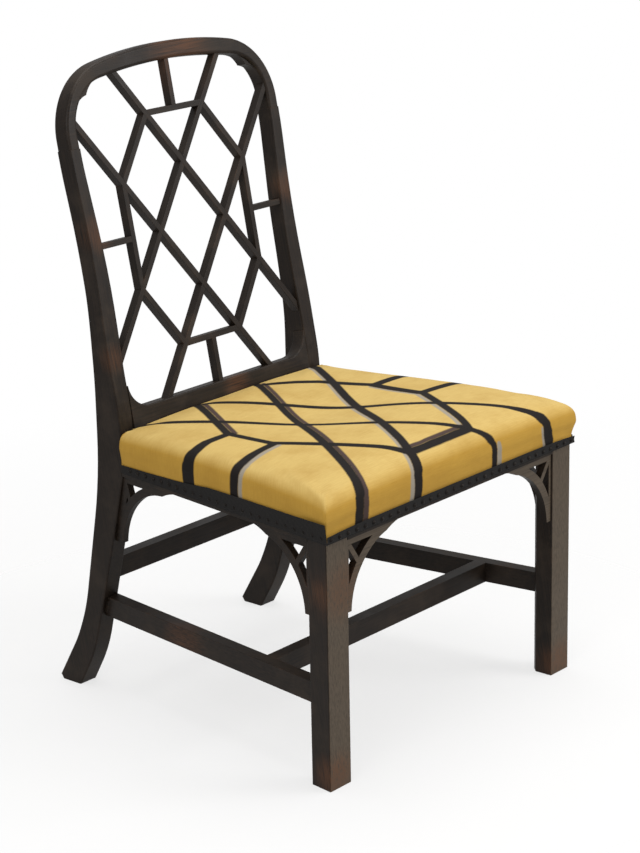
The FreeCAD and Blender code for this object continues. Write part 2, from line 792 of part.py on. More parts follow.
def build_rear_rail():
    """Rear rail between the rear legs."""
    rail = chair_body("rear_seat_rail")
    front = D.rear_rail_front
    outline = rect(-D.rear_in, front, D.rear_in, front + D.rail_thick)
    slab(rail, "bar", outline, "XY", D.rail_bottom, D.rail_top)
    for side, s in SIDES:
        tenon = rect(s * (D.rear_in - 5), REAR_TENON[0], s * REAR_TENON_END, REAR_TENON[1])
        slab(rail, f"tenon_{side}", tenon, "XY", D.tenon_bottom, D.tenon_top)
        bore(rail, f"screw_hole_{side}", "XZ", (s * SCREW_REAR_X, SCREW_Z), D.screw_radius, 440.0, 460.0)


SCREW_Z = 380.0
SCREW_X = 214.0
SCREW_REAR_X = 172.0
SCREW_FRONT_Y = 72.0
SCREW_REAR_Y = 404.0


def build_corner_blocks():
    """Glued and screwed blocks in the four corners of the seat frame."""
    inner = D.rail_thick + 0.2
    seats = []
    for side, s in SIDES:
        block = chair_body(f"front_corner_block_{side}")
        outline = [
            (s * 185.0, D.rail_thick),
            (s * D.leg_in, D.rail_thick),
            (s * D.leg_in, D.leg_depth - D.leg_chamfer),
            (s * (D.leg_in + D.leg_chamfer), D.leg_depth),
            (s * seat_line(D.leg_depth, inner), D.leg_depth),
            (s * seat_line(104.0, inner), 104.0),
        ]
        slab(block, "block", outline, "XY", D.block_bottom, D.block_top)
        bore(block, "front_hole", "XZ", (s * SCREW_X, SCREW_Z), D.screw_radius, 20.0, 90.0)
        bore(block, "front_head_hole", "XZ", (s * SCREW_X, SCREW_Z), D.screw_head, 40.0, 90.0)
        seats.append((V(s * SCREW_X, 40.0, SCREW_Z), V(0, -1, 0)))
        x_face = seat_line(SCREW_FRONT_Y, inner).value
        for name, radius, x_low, x_high in (
            ("side_hole", D.screw_radius, 180.0, x_face + 5.0),
            ("side_head_hole", D.screw_head, 180.0, x_face - 16.0),
        ):
            low, high = sorted((s * x_low, s * x_high))
            bore(block, name, "YZ", (SCREW_FRONT_Y, SCREW_Z), radius, low, high)
        seats.append((V(s * (x_face - 16.0), SCREW_FRONT_Y, SCREW_Z), V(s, 0, 0)))
    for side, s in SIDES:
        block = chair_body(f"rear_corner_block_{side}")
        outline = [
            (s * seat_line(372.0, inner), 372.0),
            (s * seat_line(437.0, inner), 437.0),
            (s * 196.0, 437.0),
            (s * 196.0, D.rear_rail_front),
            (s * 146.0, D.rear_rail_front),
        ]
        slab(block, "block", outline, "XY", D.block_bottom, D.block_top)
        bore(block, "rear_hole", "XZ", (s * SCREW_REAR_X, SCREW_Z), D.screw_radius, 380.0, 450.0)
        bore(block, "rear_head_hole", "XZ", (s * SCREW_REAR_X, SCREW_Z), D.screw_head, 380.0, 429.0)
        seats.append((V(s * SCREW_REAR_X, 429.0, SCREW_Z), V(0, 1, 0)))
        x_face = seat_line(SCREW_REAR_Y, inner).value
        for name, radius, x_low, x_high in (
            ("side_hole", D.screw_radius, 140.0, x_face + 5.0),
            ("side_head_hole", D.screw_head, 140.0, x_face - 16.0),
        ):
            low, high = sorted((s * x_low, s * x_high))
            bore(block, name, "YZ", (SCREW_REAR_Y, SCREW_Z), radius, low, high)
        seats.append((V(s * (x_face - 16.0), SCREW_REAR_Y, SCREW_Z), V(s, 0, 0)))
    return seats


def loose_piece(label, shape):
    """Group of like solids as one piece, placed in the chair frame."""
    piece = doc.addObject("Part::Feature", label)
    piece.Label = label
    piece.Shape = shape
    piece.Placement = FreeCAD.Placement(V(0, -D.front_setback.value, 0), FreeCAD.Rotation())
    pieces.append(piece)


def build_screws(seats):
    """Round-headed wood screws that hold the corner blocks."""
    solids = []
    for point, along in seats:
        shank = Part.makeCylinder(D.screw_radius.value, 29.0, point, along)
        head = Part.makeCylinder(D.screw_head.value - 0.3, 2.4, point - along * 2.4, along)
        solids.append(shank.fuse(head).removeSplitter())
    loose_piece("corner_block_screws", Part.makeCompound(solids))


# Stretchers
STRETCHER_INSET = 2.0
SHOULDER = STRETCHER_INSET + D.stretcher_thick + 0.2


def cross_tenon(s):
    """Plan outline of the cross stretcher's tenon in a side stretcher."""
    front = D.cross_front
    return rect(s * 232.0, front + 5, s * 252.0, front + 15)


def build_side_stretcher(side, s):
    """Side stretcher, its rear end cut to the slope of the rear leg."""
    bar = chair_body(f"side_stretcher_{side}")
    low, high = D.stretcher_bottom, D.stretcher_top
    outline = [
        (D.leg_depth, low),
        (leg_front(low.value), low),
        (leg_front(high.value), high),
        (D.leg_depth, high),
    ]
    x_low, x_high = sorted((s * 170.0, s * 300.0))
    slab(bar, "side_profile", outline, "YZ", x_low, x_high)
    trim_to_strip(bar, s, STRETCHER_INSET, SHOULDER)
    tenon = stretcher_tenon_front(s)
    tenon[2], tenon[3] = (tenon[2][0], D.leg_depth + 4), (tenon[3][0], D.leg_depth + 4)
    slab(bar, "front_tenon", tenon, "XY", *STRETCHER_TENON)
    tongue = stretcher_tenon_rear()
    tongue[0] = (tongue[0][0] - 6.0, tongue[0][1])
    tongue[3] = (tongue[3][0] - 6.0, tongue[3][1])
    x_low, x_high = sorted((s * 207.0, s * 217.0))
    slab(bar, "rear_tenon", tongue, "YZ", x_low, x_high)
    cut(bar, "cross_mortise", cross_tenon(s), "XY", *STRETCHER_TENON)


def build_cross_stretcher():
    """Cross stretcher between the side stretchers."""
    bar = chair_body("cross_stretcher")
    front = D.cross_front
    rear = front + D.stretcher_thick
    outline = [
        (-1 * seat_line(front, SHOULDER), front),
        (seat_line(front, SHOULDER), front),
        (seat_line(rear, SHOULDER), rear),
        (-1 * seat_line(rear, SHOULDER), rear),
    ]
    slab(bar, "bar", outline, "XY", D.stretcher_bottom, D.stretcher_top)
    for side, s in SIDES:
        slab(bar, f"tenon_{side}", cross_tenon(s), "XY", *STRETCHER_TENON)


def build_rear_stretcher():
    """Rear stretcher, higher than the others, its ends cut to the taper of the rear legs."""
    bar = chair_body("rear_stretcher")
    low, high = D.rear_stretcher_bottom, D.rear_stretcher_top
    front = D.rear_stretcher_front
    half_low = taper_half(lean(front.value, low.value)[0]) - 0.02
    half_high = taper_half(lean(front.value, high.value)[0]) - 0.02
    outline = [(-half_low, low), (half_low, low), (half_high, high), (-half_high, high)]
    slab(bar, "bar", outline, "XZ", front, front + D.stretcher_thick)
    for side, s in SIDES:
        slab(bar, f"tenon_{side}", rect(s * 188.0, 495.0, s * 206.0, 505.0), "XY", 184.0, 201.0)


# Pierced brackets
BRACKET_WAIST = (32.0, 47.0)
REAR_WAIST = (15.5, 47.0)


def circle_of(first, middle, last):
    """Centre and radius of the circle over three plane points."""
    circle = Part.Circle(*(V(*p, 0) for p in (first, middle, last)))
    return circle.Center, circle.Radius


def on_circle(centre, radius, point, along):
    """Where a line first meets a circle, going along from the point."""
    gap = point - centre
    half = gap.dot(along)
    root = math.sqrt(half * half - gap.dot(gap) + radius * radius)
    share = min(t for t in (-half - root, -half + root) if t > 0)
    return point + along * share


def bracket_outlines(tip, waist, toe_width):
    """Outer outline and two piercings of a bracket, as (from the leg, below the rail) points.

    The tip is the lower end's distance from the corner's upright, negative where the leg slopes away.
    """
    wide, size = D.bracket_width.value, D.bracket_height.value
    cusp, toe = (88.0, 11.0), (tip + toe_width, size)
    outline = [(0.0, 0.0), (wide, 0.0), (wide, 2.0), (*cusp, (100.0, 5.5)), (*toe, waist), (tip, size)]
    centre, radius = circle_of(cusp, waist, toe)
    rib = radius + 13.0
    down = V(tip, size, 0).normalize()
    corner = V(0, 0, 0)
    slant = V(waist[0], waist[1], 0).normalize()
    across = V(-slant.y, slant.x, 0)
    holes = []
    for along, inward, margin, side in (
        (down, V(down.y, -down.x, 0), toe_width - 4.5, 1),
        (V(1, 0, 0), V(0, 1, 0), 9.5, -1),
    ):
        strip = corner + inward * margin
        edge = corner + across * (side * 3.8)
        first = crossing(strip, along, edge, slant)
        second = on_circle(centre, rib, first, along)
        third = on_circle(centre, rib, first, slant)
        bulge = centre + ((second + third) * 0.5 - centre).normalize() * rib
        holes.append([(first.x, first.y), (second.x, second.y), (third.x, third.y, (bulge.x, bulge.y))])
    return outline, holes


def placed(outline, place):
    """Outline with every point moved into the chair frame."""
    moved = []
    for node in outline:
        point = place(node[0], node[1])
        moved.append(point if len(node) == 2 else (*point, place(*node[2])))
    return moved


def build_front_bracket(side, s):
    """Bracket between a front leg and the front rail."""
    bracket = chair_body(f"front_bracket_{side}")
    outline, holes = bracket_outlines(0.0, BRACKET_WAIST, 10.0)

    def place(across, below):
        return s * (D.leg_in.value - across), D.rail_bottom.value - below

    low = 3.0
    slab(bracket, "fret", placed(outline, place), "XZ", low, low + D.bracket_thick)
    for number, hole in enumerate(holes, start=1):
        cut(bracket, f"piercing_{number}", placed(hole, place), "XZ", low - 5.0, low + 20.0)


def build_side_bracket(label, s, outlines, place):
    """Bracket between a leg and a side rail, canted with the rail."""
    bracket = chair_body(label)
    outline, holes = outlines
    x_low, x_high = sorted((s * 170.0, s * 310.0))
    slab(bracket, "fret", placed(outline, place), "YZ", x_low, x_high)
    for number, hole in enumerate(holes, start=1):
        cut(bracket, f"piercing_{number}", placed(hole, place), "YZ", x_low, x_high)
    trim_to_strip(bracket, s, 3.0, 3.1 + D.bracket_thick)


def front_side_place(across, below):
    """Bracket point behind a front leg."""
    return D.leg_depth.value + across, D.rail_bottom.value - below


def rear_side_place(across, below):
    """Bracket point in front of a rear leg."""
    return leg_front(D.rail_bottom.value) - across, D.rail_bottom.value - below


# Upholstery
def build_webbing():
    """Three straps from front to rear with three across them, tacked on the rails."""
    base = D.rail_top
    for name, x in (("left", -112.0), ("middle", 0.0), ("right", 112.0)):
        strap = chair_body(f"web_strap_{name}")
        outline = rect(x - D.web_width / 2, 5.0, x + D.web_width / 2, D.rear_rail_front + 16)
        slab(strap, "strap", outline, "XY", base, base + D.web_thick)
    base = D.rail_top + D.web_thick
    for name, y in (("front", 105.0), ("centre", 212.0), ("rear", 319.0)):
        strap = chair_body(f"web_strap_{name}")
        low, high = y - D.web_width / 2, y + D.web_width / 2
        outline = [
            (-1 * seat_line(low, 6.0), low),
            (seat_line(low, 6.0), low),
            (seat_line(high, 6.0), high),
            (-1 * seat_line(high, 6.0), high),
        ]
        slab(strap, "strap", outline, "XY", base, base + D.web_thick)


def seat_plan(front, rear, grow):
    """Plan outline of the seat, wider than the rails by grow."""
    return [
        (-1 * seat_line(front, -1 * grow), front),
        (seat_line(front, -1 * grow), front),
        (seat_line(rear, -1 * grow), rear),
        (-1 * seat_line(rear, -1 * grow), rear),
    ]


def build_base_cloth():
    """Base cloth over the webbing."""
    cloth = chair_body("base_cloth")
    low = D.rail_top + 2 * D.web_thick
    slab(cloth, "cloth", seat_plan(3.0, D.cover_rear - 5, -4.0), "XY", low, low + D.base_cloth)


def plan_sketch(name, outline, z):
    """Free sketch of a plan outline at a height."""
    sketch = doc.addObject("Sketcher::SketchObject", name)
    draw(sketch, outline)
    sketch.Placement = FreeCAD.Placement(V(0, 0, val(z)), FreeCAD.Rotation())
    bind(sketch, ".Placement.Base.z", z)
    return sketch


def crowned(name, sections, drop, radius):
    """Flared block under a shallow dome, its upper edges rounded."""
    loft = doc.addObject("Part::Loft", f"{name}_block")
    loft.Sections = [plan_sketch(f"{name}_plan_{i}", outline, z) for i, (outline, z) in enumerate(sections)]
    loft.Solid = True
    loft.Ruled = True
    dome = doc.addObject("Part::Sphere", f"{name}_dome")
    dome.Radius = D.crown_radius.value - drop
    dome.setExpression("Radius", f"Dims.crown_radius - {drop:.3f}")
    centre = V(0, D.crown_y.value, D.crown_z.value - D.crown_radius.value)
    dome.Placement = FreeCAD.Placement(centre, FreeCAD.Rotation())
    dome.setExpression(".Placement.Base.y", "Dims.crown_y")
    dome.setExpression(".Placement.Base.z", "Dims.crown_z - Dims.crown_radius")
    form = doc.addObject("Part::Common", f"{name}_form")
    form.Base = loft
    form.Tool = dome
    doc.recompute()
    edges = []
    for index, edge in enumerate(form.Shape.Edges, start=1):
        if edge.BoundBox.ZMin > 407.0:
            edges.append((index, radius, radius))
    soft = doc.addObject("Part::Fillet", f"{name}_soft")
    soft.Base = form
    soft.Edges = edges
    return soft


def flared(front, rear, grow, low, knee, top):
    """Three plan sections that flare out above a knee."""
    wide = grow + D.cover_flare
    straight = seat_plan(front, rear, grow)
    return ((straight, low), (straight, knee), (seat_plan(front - D.cover_flare, rear, wide), top))


def add_piece(piece, label):
    """Names a finished piece and places it in the chair frame."""
    piece.Label = label
    piece.Placement = FreeCAD.Placement(V(0, -D.front_setback.value, 0), FreeCAD.Rotation())
    piece.setExpression(".Placement.Base.y", "-Dims.front_setback")
    pieces.append(piece)


def cover_tuck(low):
    """Part of the cover between the rear legs: over the rear rail and down its back."""
    half = D.rear_in.value - 1.5
    front = D.cover_rear.value - 2.0
    back = D.rear_rail_front.value + D.rail_thick.value + 0.3
    bottom, top, thick = 377.0, low + 7.0, 3.0
    strips = []
    for name, corner, width, height in (
        ("tuck_top", V(-half, front, low), back + thick - front, top - low),
        ("tuck_back", V(-half, back, bottom), thick, top - bottom),
    ):
        strip = doc.addObject("Part::Box", name)
        strip.setExpression("Length", "2 * Dims.rear_in - 3")
        strip.Width = width
        strip.Height = height
        strip.Placement = FreeCAD.Placement(corner, FreeCAD.Rotation())
        strips.append(strip)
    tuck = doc.addObject("Part::Fuse", "cover_tuck")
    tuck.Base, tuck.Tool = strips
    return tuck


def build_cover_and_stuffing():
    """Crowned cover drawn in at its nailed edge, and the pad under it."""
    knee = 381.0
    outer = crowned("outer", flared(-4.0, D.cover_rear, 3.0, D.cover_bottom, knee, 460.0), 0.0, 18.0)
    inner = crowned("inner", flared(-1.0, D.cover_rear - 3.2, 1.0, 350.0, knee, 460.0), 3.4, 15.0)
    gap = doc.addObject("Part::Box", "rear_gap")
    gap.Length = 480.0
    gap.Width = 16.0
    gap.Height = 56.0
    low = D.rail_top.value + 2 * D.web_thick.value + D.base_cloth.value - 56.0
    gap.Placement = FreeCAD.Placement(V(-240.0, D.cover_rear.value - 8.0, low), FreeCAD.Rotation())
    gap.setExpression(".Placement.Base.y", "Dims.cover_rear - 8")
    room = doc.addObject("Part::Fuse", "seat_room")
    room.Base = inner
    room.Tool = gap
    shell = doc.addObject("Part::Cut", "cover_shell")
    shell.Base = outer
    shell.Tool = room
    tuck = cover_tuck(low + 56.0)
    cover = doc.addObject("Part::Fuse", "seat_cover")
    cover.Base = shell
    cover.Tool = tuck
    add_piece(cover, "seat_cover")
    whole = crowned("pad", flared(-0.6, D.cover_rear - 3.8, 0.6, 350.0, knee, 460.0), 3.9, 15.0)
    above = doc.addObject("Part::Box", "above_base_cloth")
    above.Length = 640.0
    above.Width = 500.0
    above.Height = 80.0
    above.Placement = FreeCAD.Placement(V(-320.0, -30.0, low + 56.0), FreeCAD.Rotation())
    above.setExpression(".Placement.Base.z", "Dims.rail_top + 2 * Dims.web_thick + Dims.base_cloth")
    pad = doc.addObject("Part::Common", "seat_stuffing")
    pad.Base = whole
    pad.Tool = above
    add_piece(pad, "seat_stuffing")


def build_braid():
    """Braid over the cover's lower edge, in three lengths."""
    front = chair_body("braid_front")
    ends = seat_line(-4.0, -3.0 - D.braid_thick.value)
    outline = rect(-1 * ends, -4.0 - D.braid_thick, ends, -4.0)
    slab(front, "band", outline, "XY", D.cover_bottom, D.cover_bottom + D.braid_width)
    low = D.cover_bottom + 3.0
    for side, s in SIDES:
        band = chair_body(f"braid_{side}")
        strip = side_strip(s, -4.0, D.cover_rear, -3.0 - D.braid_thick.value, -3.0)
        slab(band, "band", strip, "XY", low, low + D.braid_width)


def build_nails():
    """Close nailing along the lower half of the braid, as low domes."""
    rise, base = D.nail_rise.value, D.nail_radius.value
    ball = (base * base + rise * rise) / (2 * rise)
    tilt = math.degrees(math.asin((ball - rise) / ball))
    dome = Part.makeSphere(ball, V(0, 0, 0), V(0, 0, 1), tilt, 90)
    dome.translate(V(0, 0, rise - ball))
    pitch = D.nail_pitch.value
    face = -4.0 - D.braid_thick.value
    spots = []
    count = int(2 * seat_line(0.0).value // pitch)
    for index in range(count + 1):
        x = -count * pitch / 2 + index * pitch
        spots.append((V(x, face, D.cover_bottom.value + 4.2), V(0, -1, 0)))
    cant = CANT.value
    length = math.hypot(1.0, cant)
    rows = int((D.cover_rear.value - 8.0) * length // pitch)
    for _, s in SIDES:
        for index in range(rows + 1):
            y = 4.0 + index * pitch / length
            x = seat_line(y, face + 1.0).value
            out = V(s / length, cant / length, 0)
            spots.append((V(s * x, y, D.cover_bottom.value + 7.2), out))
    solids = []
    for point, out in spots:
        nail = dome.copy()
        nail.Placement = FreeCAD.Placement(point, FreeCAD.Rotation(V(0, 0, 1), out)) * nail.Placement
        solids.append(nail)
    loose_piece("braid_nails", Part.makeCompound(solids))


# Assembly
bars = build_lattice()
build_crest_rail([bars["upper_diagonal_left"], bars["upper_diagonal_right"], bars["strut_top"],
                  bars["lower_diagonal_left"], bars["lower_diagonal_right"]])
build_lower_rail([bars["lower_diagonal_left"], bars["lower_diagonal_right"], bars["strut_bottom"]])
slope = leg_front(D.rail_bottom.value) - leg_front(D.rail_bottom.value - D.bracket_height.value)
front_fret = bracket_outlines(0.0, BRACKET_WAIST, 10.0)
rear_fret = bracket_outlines(slope, REAR_WAIST, 17.0)
for hand, sign in SIDES:
    across = "right" if hand == "left" else "left"
    build_front_leg(hand, sign)
    build_rear_leg(hand, sign, [bars[f"upper_diagonal_{across}"], bars[f"tie_{hand}"]])
    build_side_rail(hand, sign)
    build_side_stretcher(hand, sign)
    build_front_bracket(hand, sign)
    build_side_bracket(f"side_bracket_{hand}", sign, front_fret, front_side_place)
    build_side_bracket(f"rear_bracket_{hand}", sign, rear_fret, rear_side_place)
build_front_rail()
build_rear_rail()
build_cross_stretcher()
build_rear_stretcher()
build_screws(build_corner_blocks())
build_webbing()
build_base_cloth()
build_cover_and_stuffing()
build_braid()
build_nails()
doc.recompute()

# Checks before anything is written
problems = []
for item in doc.Objects:
    if "Invalid" in item.State or "Error" in item.State:
        problems.append(f"{item.Name} {item.Label} {item.State}")
for piece in pieces:
    if piece.Shape.isNull() or not piece.Shape.isValid() or piece.Shape.Volume <= 0:
        problems.append(f"{piece.Label} has no valid shape")
if problems:
    raise RuntimeError("; ".join(problems))

os.makedirs("parts", exist_ok=True)
for piece in pieces:
    piece.Shape.exportStep(f"parts/{piece.Label}.step")
print(len(pieces), "pieces written")
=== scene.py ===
"""Dresses a lattice-back side chair with ebonised wood, a patterned seat cover, braid and webbing."""

import logging
import math
from dataclasses import dataclass
from enum import Enum
from functools import partial
from typing import Any, Callable

import bmesh
import bpy
import numpy as np
from mathutils import Matrix, Vector


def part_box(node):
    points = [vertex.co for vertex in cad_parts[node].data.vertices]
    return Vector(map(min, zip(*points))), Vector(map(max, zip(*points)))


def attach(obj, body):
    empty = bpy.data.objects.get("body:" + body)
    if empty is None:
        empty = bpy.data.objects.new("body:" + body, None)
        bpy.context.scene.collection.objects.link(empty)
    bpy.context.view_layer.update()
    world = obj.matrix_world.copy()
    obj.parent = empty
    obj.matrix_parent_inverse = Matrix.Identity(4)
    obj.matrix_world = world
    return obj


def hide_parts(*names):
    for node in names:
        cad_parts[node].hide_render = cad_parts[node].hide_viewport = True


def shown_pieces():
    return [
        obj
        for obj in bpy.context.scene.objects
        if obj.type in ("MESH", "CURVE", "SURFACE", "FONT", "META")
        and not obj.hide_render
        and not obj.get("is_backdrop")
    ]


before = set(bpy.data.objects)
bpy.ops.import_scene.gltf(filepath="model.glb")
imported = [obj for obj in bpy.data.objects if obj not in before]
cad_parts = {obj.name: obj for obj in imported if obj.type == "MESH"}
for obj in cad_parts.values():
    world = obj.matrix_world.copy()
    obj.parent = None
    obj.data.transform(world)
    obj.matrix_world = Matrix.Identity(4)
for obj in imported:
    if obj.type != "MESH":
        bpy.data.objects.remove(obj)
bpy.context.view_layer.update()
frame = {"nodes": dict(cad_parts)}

LOG = logging.getLogger("lattice_chair")
MM = 0.001
BODY = "root"
FRONT_Y = -0.2916  # front faces of the front legs, from which the seat's own sizes are counted
SEAT_FRONT_HALF = 284.0  # half the seat frame's width in front, in mm
SEAT_TAPER = 0.13516  # what that half loses for each mm towards the rear
EDGE = 0.999  # share of a grid past which a point lies on its border
SMOOTH = {False: "LINEAR", True: "SMOOTHSTEP"}

Triple = tuple[float, float, float]
Table = tuple[tuple[float, float], ...]
Tree = bpy.types.NodeTree
Socket = bpy.types.NodeSocket
Material = bpy.types.Material
Piece = bpy.types.Object
Form = bmesh.types.BMesh
Face = bmesh.types.BMFace


# Shared helpers
def linear(code: str) -> tuple[float, ...]:
    """Turns an sRGB hex colour into a linear one.

    Args:
        code: six hex digits after a hash sign.

    Returns:
        Red, green, blue and an alpha of 1.
    """
    parts = [int(code[i:i + 2], 16) / 255.0 for i in (1, 3, 5)]
    red, green, blue = [p / 12.92 if p <= 0.04045 else ((p + 0.055) / 1.055) ** 2.4 for p in parts]
    return (red, green, blue, 1.0)


def unit(value: float) -> float:
    """Holds a value between 0 and 1."""
    return max(0.0, min(1.0, value))


def eased(share: float) -> float:
    """Holds a share between 0 and 1 and eases it at both ends."""
    share = unit(share)
    return share * share * (3.0 - 2.0 * share)


def read_table(rows: Table, at: float) -> float:
    """Reads a value from rows of place and value, straight between them."""
    return float(np.interp(at, *zip(*rows)))


def seat_half(y: float) -> float:
    """Half the width of the seat frame, in mm, at a distance behind the front legs' faces."""
    return SEAT_FRONT_HALF - SEAT_TAPER * y


def place(x: float, y: float, z: float) -> Vector:
    """A point of the seat, given in mm from the front legs' faces, in the row frame."""
    return Vector((x * MM, y * MM + FRONT_Y, z * MM))


def grid(columns: int, rows: int, size: float = 1.0) -> Form:
    """Starts a mesh as a flat square grid.

    Args:
        columns: its cells along x.
        rows: its cells along y.
        size: half its side.

    Returns:
        The mesh.
    """
    bm = bmesh.new()
    bmesh.ops.create_grid(bm, x_segments=columns, y_segments=rows, size=size)
    return bm


def add_object(name: str, data: bpy.types.ID) -> Piece:
    """Puts an object with its data into the scene.

    Args:
        name: the object's name.
        data: its mesh, camera or lamp.

    Returns:
        The new object.
    """
    made = bpy.data.objects.new(name, data)
    bpy.context.scene.collection.objects.link(made)
    return made


def set_finish(node: Piece, material: Material) -> None:
    """Gives a CAD node its only material."""
    node.data.materials.clear()
    node.data.materials.append(material)


def finish_piece(name: str, bm: Form, material: Material, nodes: tuple[str, ...],
                 thick: float = 0.0) -> Piece:
    """Turns a bmesh into a piece that stands for CAD nodes.

    Args:
        name: the piece's name.
        bm: its mesh, which is freed.
        material: its finish.
        nodes: the CAD nodes it stands for.
        thick: how thick its faces become, in mm, or 0 for a closed form.

    Returns:
        The new object.
    """
    if thick:
        bmesh.ops.solidify(bm, geom=bm.faces, thickness=thick * MM)
    bmesh.ops.recalc_face_normals(bm, faces=bm.faces)
    mesh = bpy.data.meshes.new(name)
    bm.to_mesh(mesh)
    bm.free()
    mesh.polygons.foreach_set("use_smooth", [True] * len(mesh.polygons))
    mesh.materials.append(material)
    piece = add_object(name, mesh)
    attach(piece, BODY)
    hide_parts(*nodes)
    LOG.info("%s stands for %s", name, ", ".join(nodes))
    return piece


# Shader nodes
def feed(tree: Tree, node: bpy.types.Node, settings: dict[str | int, Any]) -> None:
    """Sets a node's attributes and inputs, or links an input where its value is a socket.

    Args:
        tree: the node tree of a material or world.
        node: the node.
        settings: attributes, or inputs by name or number, with their values.
    """
    for key, value in settings.items():
        if isinstance(key, str) and hasattr(node, key):
            setattr(node, key, value)
        elif isinstance(value, Socket):
            tree.links.new(value, node.inputs[key])
        else:
            node.inputs[key].default_value = value


def add_node(tree: Tree, kind: str, settings: dict[str | int, Any] | None = None) -> bpy.types.Node:
    """Adds one node with its settings and links.

    Args:
        tree: the node tree of a material or world.
        kind: the node's type without its ShaderNode prefix.
        settings: attributes, or inputs by name or number, with their values.

    Returns:
        The new node.
    """
    node = tree.nodes.new("ShaderNode" + kind)
    feed(tree, node, settings or {})
    return node


def remap(tree: Tree, value: Socket, start: float, end: float, low: float = 0.0, high: float = 1.0,
          smooth: bool = False) -> Socket:
    """Turns a value that runs from start to end into one from low to high, and stays between them."""
    spans = {"From Min": start, "From Max": end, "To Min": low, "To Max": high, "Value": value}
    return add_node(tree, "MapRange", {"interpolation_type": SMOOTH[smooth], **spans}).outputs[0]


def maths(tree: Tree, operation: str, *terms: Socket | float, clamp: bool = False) -> Socket:
    """Calculates with sockets and numbers, and holds the result between 0 and 1 if told to clamp."""
    settings = {"operation": operation, "use_clamp": clamp, **dict(enumerate(terms))}
    return add_node(tree, "Math", settings).outputs[0]


def blend(tree: Tree, share: Socket, under: Socket | str, over: str) -> Socket:
    """Lays a share of one hex colour over another colour, which is a hex code or a socket."""
    lower = linear(under) if isinstance(under, str) else under
    return add_node(tree, "Mix", {"data_type": "RGBA", 0: share, 6: lower, 7: linear(over)}).outputs[2]


def noise(tree: Tree, where: Socket, size_mm: float, detail: float, roughness: float = 0.5) -> Socket:
    """Adds a cloudy noise with lumps of a size; detail and roughness say how many finer lumps it has."""
    settings = {"Scale": 1.0 / (size_mm * MM), "Detail": detail, "Roughness": roughness, "Vector": where}
    return add_node(tree, "TexNoise", settings).outputs["Fac"]


def bump(tree: Tree, height: Socket, strength: float, depth_mm: float, **more: Socket) -> Socket:
    """Raises a surface by a height; more may hold the Normal that it starts from."""
    settings = {"Strength": strength, "Distance": depth_mm * MM, "Height": height, **more}
    return add_node(tree, "Bump", settings).outputs[0]


def facing(tree: Tree, axis: str) -> Socket:
    """How far a surface faces along an axis, from -1 to 1."""
    normal = add_node(tree, "NewGeometry").outputs["Normal"]
    return add_node(tree, "SeparateXYZ", {0: normal}).outputs[axis]


def new_material(name: str) -> tuple[Material, Tree, bpy.types.Node, Socket]:
    """Starts a material.

    Args:
        name: what the finish is called.

    Returns:
        The material, its node tree, its principled shader and the object's coordinates.
    """
    material = bpy.data.materials.new(name)
    material.use_nodes = True
    tree = material.node_tree
    return material, tree, tree.nodes["Principled BSDF"], add_node(tree, "TexCoord").outputs["Object"]


# Finishes
class Grain(Enum):
    """Direction in which a wooden piece's grain runs."""

    ACROSS = (1.0, 0.0, 0.0)
    BACKWARD = (0.0, 1.0, 0.0)
    UPRIGHT = (0.0, 0.19, 0.98)
    RISING_RIGHT = (0.6, 0.15, 0.78)
    RISING_LEFT = (-0.6, 0.15, 0.78)


class Stripe(Enum):
    """Tone of a line of the trellis, named as the vertex attribute that draws it."""

    BAND = "band"
    PALE = "pale"
    DUSKY = "dusky"


@dataclass(frozen=True)
class Rub:
    """A place where hands or feet have worn the stain: where and how far, in mm, and how brown, up to 1."""

    centre: Triple
    reach: float
    amount: float


RUBS = (
    Rub((28.0, 243.0, 938.0), 86.0, 0.6),
    Rub((-200.0, 198.0, 706.0), 40.0, 0.5),
    Rub((-214.0, 164.0, 528.0), 30.0, 0.45),
    Rub((213.0, 198.0, 708.0), 36.0, 0.5),
    Rub((-250.0, -292.0, 285.0), 60.0, 0.55),
    Rub((-284.0, -280.0, 285.0), 36.0, 0.5),
    Rub((-268.0, -292.0, 20.0), 46.0, 0.75),
    Rub((262.0, -292.0, 20.0), 46.0, 0.7),
    Rub((-242.0, 20.0, 130.0), 60.0, 0.45),
    Rub((30.0, 146.0, 434.0), 40.0, 0.5),
)


